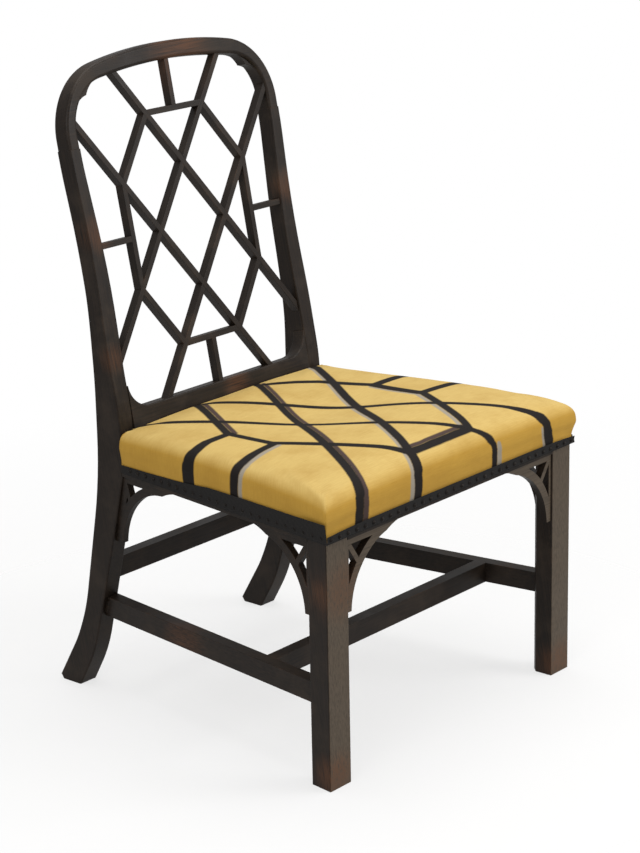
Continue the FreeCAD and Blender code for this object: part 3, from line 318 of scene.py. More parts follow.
@dataclass(frozen=True)
class EbonisedWood:
    """Beech stained black and varnished by hand, old enough that the stain is thin.

    The eye gets a black with a brown cast, a soft sheen broken by pores along the grain, brown wood on
    rubbed places and edges, and a grey bloom where the varnish has dulled. Forward faces of some fronts get
    a painted sheen, a grey-brown that stands in for the reflection of the lit floor.
    """

    stain: str = "#191410"
    thin: str = "#2d231b"
    bloom: str = "#40362d"
    bare: str = "#6b4327"
    # Grey-brown of the painted sheen on forward faces, and its greatest share.
    painted_sheen: str = "#635749"
    painted_front_sheen: float = 0.0
    roughness: float = 0.42
    ior: float = 1.5
    specular: float = 0.22
    pore_mm: float = 1.5
    streak_mm: float = 60.0
    cloud_mm: float = 75.0
    edge_mm: float = 2.2
    edge_wear: float = 0.55
    rub_core: float = 0.15

    def make(self, grain: Grain) -> Material:
        """Builds the finish for one grain direction.

        Args:
            grain: where the grain runs.

        Returns:
            The material.
        """
        label = "painted_sheen_ebonised_wood_" if self.painted_front_sheen else "ebonised_wood_"
        material, tree, shader, where = new_material(label + grain.name.lower())
        pores = self.pores(tree, where, grain)
        clouds = noise(tree, where, self.cloud_mm, 5.0, 0.62)
        colour = blend(tree, remap(tree, pores, 0.36, 0.7), self.stain, self.thin)
        colour = blend(tree, remap(tree, clouds, 0.48, 0.74, high=0.75), colour, self.bloom)
        # Painted sheen: faces that look forward take a grey-brown, patchy with the pores, in place of the lit
        # floor's reflection.
        if self.painted_front_sheen:
            ahead = remap(tree, facing(tree, "Y"), -0.6, -0.95, high=self.painted_front_sheen)
            patchy = remap(tree, pores, 0.25, 0.6, low=0.45)
            colour = blend(tree, maths(tree, "MULTIPLY", ahead, patchy), colour, self.painted_sheen)
        colour = blend(tree, self.wear(tree, where, clouds, pores), colour, self.bare)
        gloss = remap(tree, clouds, 0.3, 0.75, self.roughness - 0.1, self.roughness + 0.16)
        soft = add_node(tree, "Bevel", {"samples": 4, "Radius": self.edge_mm * 0.5 * MM}).outputs[0]
        feed(tree, shader, {"Base Color": colour, "Roughness": gloss, "IOR": self.ior,
                            "Specular IOR Level": self.specular,
                            "Normal": bump(tree, pores, 0.25, 0.25, Normal=soft)})
        return material

    def pores(self, tree: Tree, where: Socket, grain: Grain) -> Socket:
        """Adds a noise that is fine across the grain and drawn out along it.

        Args:
            tree: the material's node tree.
            where: object coordinates.
            grain: where the grain runs.

        Returns:
            The noise.
        """
        fine = 1.0 / (self.pore_mm * MM)
        squeeze = 1.0 / (self.streak_mm * MM) - fine
        along = add_node(tree, "VectorMath", {"operation": "DOT_PRODUCT", 0: where, 1: grain.value})
        shrink = maths(tree, "MULTIPLY", along.outputs["Value"], squeeze)
        shift = add_node(tree, "VectorMath", {"operation": "SCALE", 0: grain.value, "Scale": shrink})
        spread = add_node(tree, "VectorMath", {"operation": "SCALE", 0: where, "Scale": fine})
        ends = {0: spread.outputs[0], 1: shift.outputs[0]}
        fibre = add_node(tree, "VectorMath", {"operation": "ADD", **ends}).outputs[0]
        return noise(tree, fibre, 1.0 / MM, 4.0, 0.6)

    def wear(self, tree: Tree, where: Socket, clouds: Socket, pores: Socket) -> Socket:
        """Adds the share of bare wood: along edges in places, and on the rubbed spots.

        Args:
            tree: the material's node tree.
            where: object coordinates.
            clouds: a large noise.
            pores: the grain's noise.

        Returns:
            The socket with the share.
        """
        rounded = add_node(tree, "Bevel", {"samples": 4, "Radius": self.edge_mm * MM}).outputs[0]
        face = add_node(tree, "NewGeometry").outputs["Normal"]
        turn = add_node(tree, "VectorMath", {"operation": "DOT_PRODUCT", 0: rounded, 1: face})
        edge = remap(tree, turn.outputs["Value"], 0.99, 0.86)
        total = maths(tree, "MULTIPLY", edge, remap(tree, clouds, 0.5, 0.66))
        total = maths(tree, "MULTIPLY", total, self.edge_wear)
        for rub in RUBS:
            centre = [c * MM for c in rub.centre]
            away = add_node(tree, "VectorMath", {"operation": "DISTANCE", 0: where, 1: centre})
            near = remap(tree, away.outputs["Value"], rub.reach * MM, rub.reach * self.rub_core * MM,
                         high=rub.amount, smooth=True)
            total = maths(tree, "MAXIMUM", total, near)
        return maths(tree, "MULTIPLY", total, remap(tree, pores, 0.3, 0.62), clamp=True)


@dataclass(frozen=True)
class PlainWood:
    """Sawn beech without finish, as inside a seat frame: pale and matt, with short dark flecks."""

    pale: str = "#b18a5c"
    fleck: str = "#7d5833"
    roughness: float = 0.75
    fleck_mm: float = 2.2
    turn: Triple = (0.0, 0.0, 0.78)
    draw_out: Triple = (0.12, 1.0, 1.0)

    def make(self) -> Material:
        """Builds the finish.

        Returns:
            The material.
        """
        material, tree, shader, where = new_material("sawn_beech")
        turned = add_node(tree, "Mapping", {"Scale": self.draw_out, "Rotation": self.turn, "Vector": where})
        flecks = noise(tree, turned.outputs[0], self.fleck_mm, 3.0)
        colour = blend(tree, remap(tree, flecks, 0.4, 0.72), self.pale, self.fleck)
        feed(tree, shader, {"Base Color": colour, "Roughness": self.roughness,
                            "Normal": bump(tree, flecks, 0.3, 0.3)})
        return material


@dataclass(frozen=True)
class TrellisCloth:
    """Yellow woven seat cloth with dark bands, some with a pale or a dusky stripe along one edge.

    A tight rep weave: no gloss, fine ribs, uneven old dye, and a painted sheen that makes the top paler than
    the walls.
    The ribs are drawn at 2.4 mm, about three times their real spacing, so that they show.
    """

    ground: str = "#c99d41"
    # Pale colour of the painted sheen on the top.
    painted_sheen: str = "#d5b76f"
    soiled: str = "#a67a2a"
    band: str = "#1b1614"
    pale: str = "#a19787"
    dusky: str = "#4b3b36"
    soft_mm: float = 1.3
    waver_mm: float = 2.4
    rib_mm: float = 2.4
    stain_mm: float = 70.0
    slub_mm: tuple[float, float] = (24.0, 1.6)
    roughness: float = 0.85
    specular: float = 0.25

    def make(self) -> Material:
        """Builds the finish, whose bands follow the cover's vertex attributes.

        Returns:
            The material.
        """
        material, tree, shader, where = new_material("trellis_cloth")
        cloth = add_node(tree, "Attribute", {"attribute_name": "cloth"}).outputs["Vector"]
        dye = noise(tree, where, self.stain_mm, 5.0, 0.62)
        thread = [1.0 / (size * MM) for size in self.slub_mm]
        drawn = add_node(tree, "Mapping", {"Scale": (*thread, 1.0), "Vector": cloth}).outputs[0]
        slubs = noise(tree, drawn, 1.0 / MM, 3.0)
        # Painted sheen: the more a face looks up, the more of the pale top colour it takes, in place of the
        # overhead light's sheen.
        colour = blend(tree, remap(tree, facing(tree, "Z"), 0.25, 0.95), self.ground, self.painted_sheen)
        colour = blend(tree, remap(tree, dye, 0.56, 0.24, high=0.4), colour, self.soiled)
        colour = blend(tree, remap(tree, slubs, 0.35, 0.7, high=0.22), colour, self.soiled)
        wavy = maths(tree, "MULTIPLY_ADD", slubs, self.waver_mm * MM, -self.waver_mm / 2 * MM)
        for tone, tint in ((Stripe.PALE, self.pale), (Stripe.DUSKY, self.dusky), (Stripe.BAND, self.band)):
            away = add_node(tree, "Attribute", {"attribute_name": tone.value}).outputs["Fac"]
            inside = remap(tree, maths(tree, "ADD", away, wavy), self.soft_mm * MM, -self.soft_mm * MM)
            colour = blend(tree, inside, colour, tint)
        scale = 1.0 / (self.rib_mm * MM) / math.pi
        ribs = add_node(tree, "TexWave", {"Scale": scale, "Distortion": 0.6, "Detail": 1.0, "Vector": cloth})
        weave = maths(tree, "ADD", ribs.outputs["Fac"], slubs)
        feed(tree, shader, {"Base Color": colour, "Roughness": self.roughness,
                            "Specular IOR Level": self.specular, "Normal": bump(tree, weave, 0.25, 0.35)})
        return material


@dataclass(frozen=True)
class WovenTape:
    """Narrow woven stuff such as braid, webbing or hessian: matt, ridged both ways, soiled in patches."""

    name: str
    thread: str
    cross: str
    ridge_mm: float
    roughness: float = 0.85
    dirt_mm: float = 40.0
    dirt: float = 0.6

    def make(self) -> Material:
        """Builds the finish.

        Returns:
            The material.
        """
        material, tree, shader, where = new_material(self.name)
        scale = 1.0 / (self.ridge_mm * MM) / math.pi
        wave = {"Scale": scale, "Distortion": 0.8, "Detail": 2.0, "Vector": where}
        ridges = [add_node(tree, "TexWave", {"bands_direction": axis, **wave}) for axis in "XY"]
        woven = maths(tree, "MULTIPLY", *(ridge.outputs["Fac"] for ridge in ridges))
        soil = noise(tree, where, self.dirt_mm, 4.0)
        share = maths(tree, "MULTIPLY_ADD", soil, self.dirt, woven, clamp=True)
        colour = blend(tree, share, self.thread, self.cross)
        feed(tree, shader, {"Base Color": colour, "Roughness": self.roughness,
                            "Normal": bump(tree, woven, 0.4, 0.3)})
        return material


@dataclass(frozen=True)
class OldMetal:
    """Forged iron or turned steel with a dull skin of scale or rust, in spots on the clean metal."""

    name: str
    clean: str
    skin: str
    roughness: float
    metallic: float
    spot_mm: float = 3.0

    def make(self) -> Material:
        """Builds the finish.

        Returns:
            The material.
        """
        material, tree, shader, where = new_material(self.name)
        spots = noise(tree, where, self.spot_mm, 4.0)
        colour = blend(tree, remap(tree, spots, 0.4, 0.62), self.clean, self.skin)
        gloss = remap(tree, spots, 0.0, 1.0, self.roughness - 0.1, self.roughness + 0.2)
        feed(tree, shader, {"Base Color": colour, "Roughness": gloss, "Metallic": self.metallic})
        return material


# Wooden frame
@dataclass
class Joinery:
    """The wooden pieces, which keep their CAD shapes and take the stain with their own grain direction."""

    wood: EbonisedWood = EbonisedWood()
    # Front legs and front brackets get the painted sheen on their forward faces.
    painted_sheen_wood: EbonisedWood = EbonisedWood(painted_front_sheen=0.9)
    painted_sheen_nodes: tuple[str, ...] = ("front_leg", "front_bracket")
    block: PlainWood = PlainWood()
    screw: OldMetal = OldMetal("turned_steel", "#8d8983", "#4b3a2c", 0.45, 1.0)

    def grain_of(self, node: str) -> Grain | None:
        """Finds the grain of a wooden CAD node.

        Args:
            node: the node's name.

        Returns:
            Its direction, or None for what isn't stained wood.
        """
        side = {"left": Grain.RISING_LEFT, "right": Grain.RISING_RIGHT}.get(node.split("_")[-1])
        other = {Grain.RISING_LEFT: Grain.RISING_RIGHT, Grain.RISING_RIGHT: Grain.RISING_LEFT}.get(side)
        rules: tuple[tuple[Grain | None, tuple[str, ...]], ...] = (
            (side, ("upper_diagonal", "octagon_low_")),
            (other, ("lower_diagonal", "octagon_top_")),
            (Grain.UPRIGHT, ("octagon_side", "strut", "front_leg", "rear_leg")),
            (Grain.BACKWARD, ("side_seat_rail", "side_stretcher", "side_bracket", "rear_bracket")),
            (Grain.ACROSS, ("octagon", "tie", "front_bracket", "crest_rail", "lower_back_rail",
                            "front_seat_rail", "rear_seat_rail", "cross_stretcher", "rear_stretcher")),
        )
        return next((grain for grain, starts in rules if node.startswith(starts)), None)

    def dress(self, nodes: dict[str, Piece]) -> None:
        """Gives every wooden node and the screws their materials.

        Args:
            nodes: the CAD nodes by name.
        """
        stained = {grain: self.wood.make(grain) for grain in Grain}
        painted_sheen = {grain: self.painted_sheen_wood.make(grain) for grain in (Grain.UPRIGHT, Grain.ACROSS)}
        sawn, steel = self.block.make(), self.screw.make()
        for name, node in nodes.items():
            grain = self.grain_of(name)
            if name == "corner_block_screws":
                chosen = steel
            elif "corner_block" in name:
                chosen = sawn
            elif grain:
                chosen = (painted_sheen if name.startswith(self.painted_sheen_nodes) else stained)[grain]
            else:
                continue
            set_finish(node, chosen)
            LOG.info("%s keeps its shape, finish %s", name, chosen.name)


# Seat cover
@dataclass(frozen=True)
class Line:
    """One line of the trellis on the seat's plan, in mm.

    Attributes:
        tone: what it is drawn in.
        points: x, y and half the line's width at its ends and corners.
        aside: how far it is shifted to the left, seen from its start.
    """

    tone: Stripe
    points: tuple[Triple, ...]
    aside: float = 0.0

    def distance(self, plan: np.ndarray) -> np.ndarray:
        """Distance of plan points from the line's edge, negative inside.

        Args:
            plan: rows of x and y.

        Returns:
            One distance for each point.
        """
        edges = []
        for one, two in zip(self.points, self.points[1:]):
            run = np.subtract(two[:2], one[:2])
            start = one[:2] + np.array((-run[1], run[0])) / np.linalg.norm(run) * self.aside
            share = np.clip(((plan - start) @ run) / (run @ run), 0.0, 1.0)
            half = one[2] + share * (two[2] - one[2])
            edges.append(np.linalg.norm(plan - start - share[:, None] * run, axis=1) - half)
        return np.min(edges, axis=0)


BAND, PALE, DUSKY = Stripe
# The pattern: four long diagonals, a long octagon with its ties, and their ends over the edges
TRELLIS = (
    # Diagonal from the front's left middle to the rear's right
    Line(BAND, ((-88.5, -70, 8.8), (-89.5, -40, 8.8), (-90.7, -21, 8.8), (-91, -9, 8.8),
                (-74, 26, 7.2), (96, 282, 7.2), (199, 431, 7.2))),
    Line(PALE, ((-101.5, -70, 5.0), (-102.3, -40, 5.0), (-103.5, -21, 5.0), (-102.5, -8, 4.2),
                (-97, 4, 3.2), (-81.8, 31.1, 2.8))),
    Line(PALE, ((-74, 26, 2.8), (96, 282, 2.8), (199, 431, 2.8)), 9.3),
    # Diagonal from the front's left to the rear's right middle
    Line(BAND, ((-217.4, -70, 8.8), (-217.8, -40, 8.8), (-218.4, -21, 8.8), (-217.5, -9, 8.8),
                (-200, 22, 6.8), (63, 431, 6.0))),
    Line(DUSKY, ((-203.5, -70, 6.0), (-204, -40, 6.0), (-204.8, -21, 6.0), (-204.3, -9, 5.6),
                 (-199.8, 4, 4.8), (-192.1, 16.9, 4.0))),
    Line(DUSKY, ((-200, 22, 3.8), (60, 426, 3.6)), -9.4),
    # Diagonal from the front's right middle to the rear's left
    Line(BAND, ((89.9, -70, 6.2), (89.5, -40, 6.2), (86.2, -21, 6.4), (85.4, -12, 6.2), (81.5, -5, 5.8),
                (73, 2, 5.6), (56, 20, 6.2), (38.5, 48, 6.6), (-191, 436, 6.6))),
    Line(PALE, ((101.5, -70, 5.6), (101.1, -40, 5.6), (97.8, -21, 5.6), (96.6, -12, 4.6))),
    # Diagonal from the front's right to the rear's left middle
    Line(BAND, ((225.9, -70, 9.8), (225.3, -40, 9.8), (216.8, -21, 9.8), (215.8, -11, 9.4),
                (211, -3, 8.8), (201.5, 5, 8.0), (181.5, 29.5, 7.0), (-70, 427, 6.8))),
    Line(PALE, ((213.3, -70, 3.4), (212.7, -40, 3.4), (204.9, -21, 3.2), (204.2, -15, 2.6))),
    # Octagon: its four sloping sides, its front and its left and right sides
    Line(BAND, ((-79, 19, 7.2), (-166, 190, 7.0))),
    Line(BAND, ((59.5, 20, 7.0), (161.5, 185, 7.0))),
    Line(PALE, ((64, 28, 3.6), (161.5, 185, 3.6)), 10.6),
    Line(BAND, ((-168, 278, 6.4), (-72, 429, 6.4))),
    Line(DUSKY, ((-168, 278, 4.0), (-72, 429, 4.0)), -10.3),
    Line(BAND, ((160, 276, 7.6), (122, 353, 7.6), (98, 379, 7.4), (61.5, 409.5, 7.0))),
    Line(BAND, ((-77, 19.5, 7.3), (60, 19.5, 7.3))),
    Line(DUSKY, ((-72, 19.5, 4.0), (56, 19.5, 4.0)), 10.8),
    Line(BAND, ((-169, 190, 6.6), (-167, 278, 6.6))),
    Line(BAND, ((158.5, 185, 8.8), (158.5, 276, 8.8))),
    Line(PALE, ((158.5, 188, 2.4), (158.5, 274, 2.4)), 11.2),
    # Ties over the left edge, then over the right one
    Line(BAND, ((-166, 190, 7.0), (-203, 187, 7.0), (-232, 182.5, 7.8), (-252, 180, 8.8),
                (-370, 180, 8.8))),
    Line(PALE, ((-172, 190, 3.6), (-203, 187, 4.0), (-232, 182.5, 4.4), (-252, 180, 4.4)), 11.0),
    Line(PALE, ((-252, 180, 4.4), (-370, 180, 4.4)), 12.6),
    Line(BAND, ((-166, 278, 7.4), (-210, 280, 8.2), (-238, 275.5, 9.8), (-258, 279.5, 13.0),
                (-370, 280, 13.0))),
    Line(BAND, ((160, 184, 8.2), (203, 182.5, 8.2), (370, 180, 8.2))),
    Line(BAND, ((160, 275, 8.4), (203, 275.5, 8.4), (370, 278, 8.4))),
    # Rear side of the octagon and its ends down the back
    Line(BAND, ((63, 431, 7.0), (64.5, 446, 7.0), (-64.5, 446, 7.0), (-72, 426, 7.0))),
    Line(BAND, ((64.5, 446, 7.0), (64.5, 500, 7.0))),
    Line(BAND, ((-64.5, 446, 7.0), (-64.5, 500, 7.0))),
)


@dataclass
class SeatCover:
    """Stuffed seat under a cloth cover that is nailed round the rails and tucked over the rear rail.

    Sizes are in mm. The cover starts a little small, swells under pressure as cloth, then settles where it
    has been sat on. The lip is the top's fall towards the front, the crease where the walls are drawn in.
    """

    cloth: TrellisCloth = TrellisCloth()
    crown_z: float = 443.2
    crown_radius: float = 3300.0
    crown_y: float = 150.0
    rear: float = 434.6
    edge_radius: float = 18.0
    rear_radius: float = 3.5
    rear_wrap: float = 5.0
    rear_lift: Table = ((-180.0, 2.2), (-10.0, 0.6), (180.0, 5.6))
    lift_from: float = 300.0
    lift_reach: float = 135.0
    front_drop: float = 10.0
    lip_from: float = -9.0
    lip_reach: float = 75.0
    lip_wide: float = 560.0
    bulge: float = 10.0
    crease_from: float = 0.22
    crease_reach: float = 0.52
    turn_z: float = 414.0
    front_wall: float = 3.0
    rear_wall: float = 432.6
    hem_z: float = 363.0
    hem_out: float = 2.2
    lining_out: float = 0.9
    lining_in: float = 2.0
    lining_over: float = 4.0
    lining_z: float = 404.0
    tuck_top: float = 410.6
    tuck_half: float = 195.0
    tuck_back: float = 472.2
    tuck_thick: float = 3.0
    tuck_low: float = 377.0
    start_small: float = 2.0
    small_until: float = 0.72
    most_swell: float = 2.6
    swelling: tuple[tuple[str, float], ...] = (
        ("quality", 6), ("mass", 0.3), ("use_pressure", True), ("uniform_pressure_force", 4.0),
        ("tension_stiffness", 25.0), ("compression_stiffness", 25.0), ("shear_stiffness", 25.0),
        ("bending_stiffness", 6.0))
    hollow: float = 13.2
    hollow_at: tuple[float, float] = (22.0, 249.0)
    hollow_wide: tuple[float, float] = (99.0, 68.0)
    hollow_above: float = 412.0
    columns: int = 96
    rows: int = 74
    arc_rings: int = 5
    wall_rings: int = 9
    tuck_rings: int = 4
    held_rings: int = 3
    tuck_steps: int = 6
    frames: int = 20

    def top(self, x: float, y: float) -> float:
        """Height of the freshly stuffed top over a plan point.

        Args:
            x: across the seat.
            y: from the front legs' faces.

        Returns:
            The height in mm.
        """
        dome = math.sqrt(self.crown_radius ** 2 - x * x - (y - self.crown_y) ** 2)
        lip = max(0.0, 1.0 - (y - self.lip_from) / self.lip_reach)
        lip *= 1.0 - (x / self.lip_wide) ** 2
        back = max(0.0, (y - self.lift_from) / self.lift_reach)
        lift = read_table(self.rear_lift, x)
        return self.crown_z - self.crown_radius + dome - self.front_drop * lip * lip + lift * back * back

    def ring(self, step: int) -> Triple:
        """One ring round the cover's edge, from the top outwards and down.

        Args:
            step: the ring's number, from 0 on the top.

        Returns:
            How far out it stands from the rails, how far below the top on the arc, and the share of the
            wall that it has gone down.
        """
        turn = min(step / self.arc_rings, 1.0) * math.pi / 2
        out = self.bulge - self.edge_radius * (1.0 - math.sin(turn))
        drop = self.edge_radius * (1.0 - math.cos(turn))
        share = max(0.0, (step - self.arc_rings) / self.wall_rings)
        drawn = (self.bulge - self.hem_out) * unit((share - self.crease_from) / self.crease_reach)
        return out - drawn, drop, share

    def spot(self, u: float, v: float, step: int) -> Vector:
        """Place of a cover point before it swells.

        Args:
            u: across the seat, from -1 to 1.
            v: from the front, 0, to the rear, 1.
            step: its ring.

        Returns:
            The point in the row frame.
        """
        out, drop, share = self.ring(step)
        out -= self.start_small * (1.0 - min(1.0, share / self.small_until))
        behind = v > EDGE and abs(u) < EDGE
        lean = self.rear_radius / self.edge_radius
        rear = self.rear if share > 0.0 else self.rear + (out - self.bulge) * lean
        y = v * (rear + out) - out
        if v > EDGE and not behind:
            y += self.rear_wrap
        x = u * (seat_half(y) + out)
        edge_x = u * (seat_half(y) + min(out, self.bulge - self.edge_radius))
        z = self.top(edge_x, y) - self.start_small
        if share == 0.0:
            z -= drop * (lean if behind else 1.0)
        elif behind:
            low = z - self.edge_radius * lean
            split = 1.0 - self.tuck_rings / self.wall_rings
            z = low + (self.tuck_top - low) * min(1.0, share / split)
            z += (self.lining_z - self.tuck_top) * max(0.0, (share - split) / (1.0 - split))
        else:
            wall = z - self.edge_radius
            z = wall + (self.hem_z - wall) * share
        return place(x, y, z)

    def lining(self, u: float, v: float, high: bool) -> Vector:
        """Place of a point on the hidden inner side.

        Args:
            u: across the seat, from -1 to 1.
            v: from the front, 0, to the rear, 1.
            high: whether it lies over the rails, not beside them.

        Returns:
            The point in the row frame.
        """
        behind = v > EDGE and abs(u) < EDGE
        rear = self.rear - (self.lining_over if high else self.lining_in)
        y = v * (rear + self.lining_out) - self.lining_out
        return place(u * (seat_half(y) + self.lining_out), y, self.lining_z if high or behind else self.hem_z)

    def form(self) -> tuple[Form, list[float]]:
        """Builds the closed form: a grid for the top, rings for the walls, the lining and the rear tuck.

        Returns:
            The mesh and, for each vertex, how firmly it is held.
        """
        bm = grid(self.columns, self.rows)
        held = bm.verts.layers.float.new("held")
        cloth = bm.verts.layers.float_vector.new("cloth")
        at = {v: (v.co.x, (v.co.y + 1.0) / 2.0) for v in bm.verts}
        for v, (u, w) in at.items():
            v.co = self.spot(u, w, 0)
            v[cloth] = (v.co.x, v.co.y, 0.0)
        loop = [e for e in bm.edges if e.is_boundary]
        rings = self.arc_rings + self.wall_rings
        half = self.tuck_half * MM
        rear_faces: list[Face] = []
        for step in range(1, rings + 3):
            old = {v for e in loop for v in e.verts}
            grown = bmesh.ops.extrude_edge_only(bm, edges=loop)["geom"]
            loop = [g for g in grown if isinstance(g, bmesh.types.BMEdge) and old.isdisjoint(g.verts)]
            for v in {v for e in loop for v in e.verts}:
                source = next(e.other_vert(v) for e in v.link_edges if e.other_vert(v) in old)
                u, w = at[v] = at[source]
                v.co = self.spot(u, w, step) if step <= rings else self.lining(u, w, step == rings + 2)
                aside = math.copysign(1.0, u) if abs(u) > EDGE else 0.0
                ahead = -1.0 if w < 1.0 - EDGE else 1.0 if w > EDGE else 0.0
                v[cloth] = source[cloth] + Vector((aside, ahead, 0.0)) * (v.co - source.co).length
                v[held] = unit((step - rings + self.held_rings) / self.held_rings)
            if rings - self.tuck_rings < step <= rings:
                rear_faces += [g for g in grown if isinstance(g, Face)
                               and all(at[v][1] > EDGE and abs(v.co.x) < half for v in g.verts)]
        bmesh.ops.grid_fill(bm, edges=loop, use_smooth=True)
        for v in bm.verts:
            if v not in at:
                v[held] = 1.0
                v.co.z = self.lining_z * MM
        self.add_tuck(bm, rear_faces, held)
        return self.in_order(bm, held, cloth)

    def in_order(self, bm: Form, held: Any, cloth: Any) -> tuple[Form, list[float]]:
        """Builds the form anew in the order of its places, so that it swells the same in each run.

        Args:
            bm: the form, which is freed.
            held: its layer that says how firmly a vertex is held.
            cloth: its layer of places on the flat cloth.

        Returns:
            The new mesh and, for each vertex, how firmly it is held.
        """
        bmesh.ops.recalc_face_normals(bm, faces=bm.faces)
        verts = sorted(bm.verts, key=lambda v: v.co[:])
        rank = {v: number for number, v in enumerate(verts)}
        faces = []
        for face in bm.faces:
            corners = [rank[v] for v in face.verts]
            first = corners.index(min(corners))
            faces.append(corners[first:] + corners[:first])
        fresh = bmesh.new()
        layer = fresh.verts.layers.float_vector.new("cloth")
        made = [fresh.verts.new(v.co) for v in verts]
        for new, v in zip(made, verts):
            new[layer] = v[cloth]
        for corners in sorted(faces):
            fresh.faces.new([made[number] for number in corners])
        weights = [v[held] for v in verts]
        bm.free()
        return fresh, weights

    def pull(self, bm: Form, faces: list[Face], axis: int, stop: float, held: Any) -> list[Face]:
        """Pulls faces out to a place along an axis and holds them there.

        Args:
            bm: the cover's mesh.
            faces: what is pulled.
            axis: the axis along which it is pulled.
            stop: the place in the row frame.
            held: the layer that says how firmly a vertex is held.

        Returns:
            The faces at their new place.
        """
        grown = bmesh.ops.extrude_face_region(bm, geom=faces)["geom"]
        pulled = [g for g in grown if isinstance(g, Face)]
        for v in {v for f in pulled for v in f.verts}:
            v.co[axis] = stop
            v[held] = 1.0
        return pulled

    def add_tuck(self, bm: Form, faces: list[Face], held: Any) -> None:
        """Pulls the cloth over the rear rail and down its back.

        Args:
            bm: the cover's mesh.
            faces: the rear faces that are pulled out.
            held: the layer that says how firmly a vertex is held.
        """
        fold = self.tuck_back - self.tuck_thick
        for stop in [*np.linspace(self.rear, fold, self.tuck_steps + 1)[1:], self.tuck_back]:
            faces = self.pull(bm, faces, 1, stop * MM + FRONT_Y, held)
        middles = {f: f.calc_center_median() / MM for f in bm.faces if abs(f.normal.z) > 0.5}
        under = [f for f, middle in middles.items()
                 if middle.y > fold + FRONT_Y / MM and abs(middle.z - self.lining_z) < 0.1]
        for stop in np.linspace(self.lining_z, self.tuck_low, self.tuck_steps)[1:]:
            under = self.pull(bm, under, 2, stop * MM, held)

    def swell(self, piece: Piece, held: list[float]) -> None:
        """Lets pressure fill the cover as cloth, then caps how far a point has moved.

        Args:
            piece: the cover.
            held: how firmly each vertex is held.
        """
        scene = bpy.context.scene
        group = piece.vertex_groups.new(name="nailed")
        for index, weight in enumerate(held):
            group.add([index], weight, "REPLACE")
        modifier = piece.modifiers.new("Swell", "CLOTH")
        for key, value in self.swelling:
            setattr(modifier.settings, key, value)
        modifier.settings.vertex_group_mass = group.name
        modifier.settings.effector_weights.gravity = 0.0
        modifier.point_cache.frame_start, modifier.point_cache.frame_end = 1, self.frames
        for number in range(1, self.frames + 1):
            scene.frame_set(number)
        moved = piece.evaluated_get(bpy.context.evaluated_depsgraph_get()).data
        count = len(piece.data.vertices)
        before, after = np.empty(count * 3), np.empty(count * 3)
        piece.data.vertices.foreach_get("co", before)
        moved.vertices.foreach_get("co", after)
        travel = (after - before).reshape(-1, 3)
        length = np.maximum(np.linalg.norm(travel, axis=1, keepdims=True), 1e-9)
        cap = self.most_swell * MM
        travel *= cap * np.tanh(length / cap) / length
        piece.modifiers.remove(modifier)
        piece.vertex_groups.remove(group)
        scene.frame_set(1)
        piece.data.vertices.foreach_set("co", (before + travel.ravel()))
        piece.data.update()
        LOG.info("seat cover swelled by %.1f mm at most", float(length.max()) / MM)

    def settle(self, piece: Piece) -> None:
        """Presses the shallow hollow of use into the top.

        Args:
            piece: the cover.
        """
        for v in piece.data.vertices:
            x, y, z = v.co.x / MM, (v.co.y - FRONT_Y) / MM, v.co.z / MM
            if z > self.hollow_above:
                away = ((x - self.hollow_at[0]) / self.hollow_wide[0]) ** 2
                away += ((y - self.hollow_at[1]) / self.hollow_wide[1]) ** 2
                v.co.z -= self.hollow * math.exp(-away / 2.0) * MM

    def paint(self, mesh: bpy.types.Mesh) -> None:
        """Writes each vertex's distance from the edge of the nearest line of each tone, negative inside.

        Below the turn of the edge the plan is followed down the walls, as the flat cloth was.

        Args:
            mesh: the finished cover.
        """
        points = np.empty(len(mesh.vertices) * 3)
        mesh.vertices.foreach_get("co", points)
        points = points.reshape(-1, 3) / MM
        plan = points[:, :2] - (0.0, FRONT_Y / MM)
        down = np.maximum(0.0, self.turn_z - points[:, 2])
        front, back = plan[:, 1] < self.front_wall, plan[:, 1] > self.rear_wall
        plan[:, 1] += np.where(back, down, np.where(front, -down, 0.0))
        plan[:, 0] += np.where(front | back, 0.0, np.sign(plan[:, 0]) * down)
        for tone in Stripe:
            edges = np.min([line.distance(plan) for line in TRELLIS if line.tone is tone], axis=0) * MM
            layer = mesh.attributes.new(tone.value, "FLOAT", "POINT")
            layer.data.foreach_set("value", edges.astype(np.float32))

    def build(self) -> Piece:
        """Builds, swells, settles and paints the cover.

        Returns:
            The finished piece.
        """
        bm, held = self.form()
        covered = ("seat_cover", "seat_stuffing")
        piece = finish_piece("seat_cushion", bm, self.cloth.make(), covered)
        self.swell(piece, held)
        self.settle(piece)
        finer = piece.modifiers.new("finer", "SUBSURF")
        finer.levels = finer.render_levels = 1
        dense = bpy.data.meshes.new_from_object(piece.evaluated_get(bpy.context.evaluated_depsgraph_get()))
        piece.modifiers.clear()
        piece.data = dense
        dense.name = piece.name
        dense.polygons.foreach_set("use_smooth", [True] * len(dense.polygons))
        self.paint(dense)
        return piece


# Trim of the seat
@dataclass(frozen=True)
class SideBraid:
    """How the braid lies on one side of the seat. Sizes are in mm.

    Attributes:
        node: the CAD node it stands for.
        sign: -1 on the left, 1 on the right.
        start: how far behind the node's front end it starts.
        rises: how far its upper edge stands above the node's, by the share of its length.
    """

    node: str
    sign: float
    start: float
    rises: Table


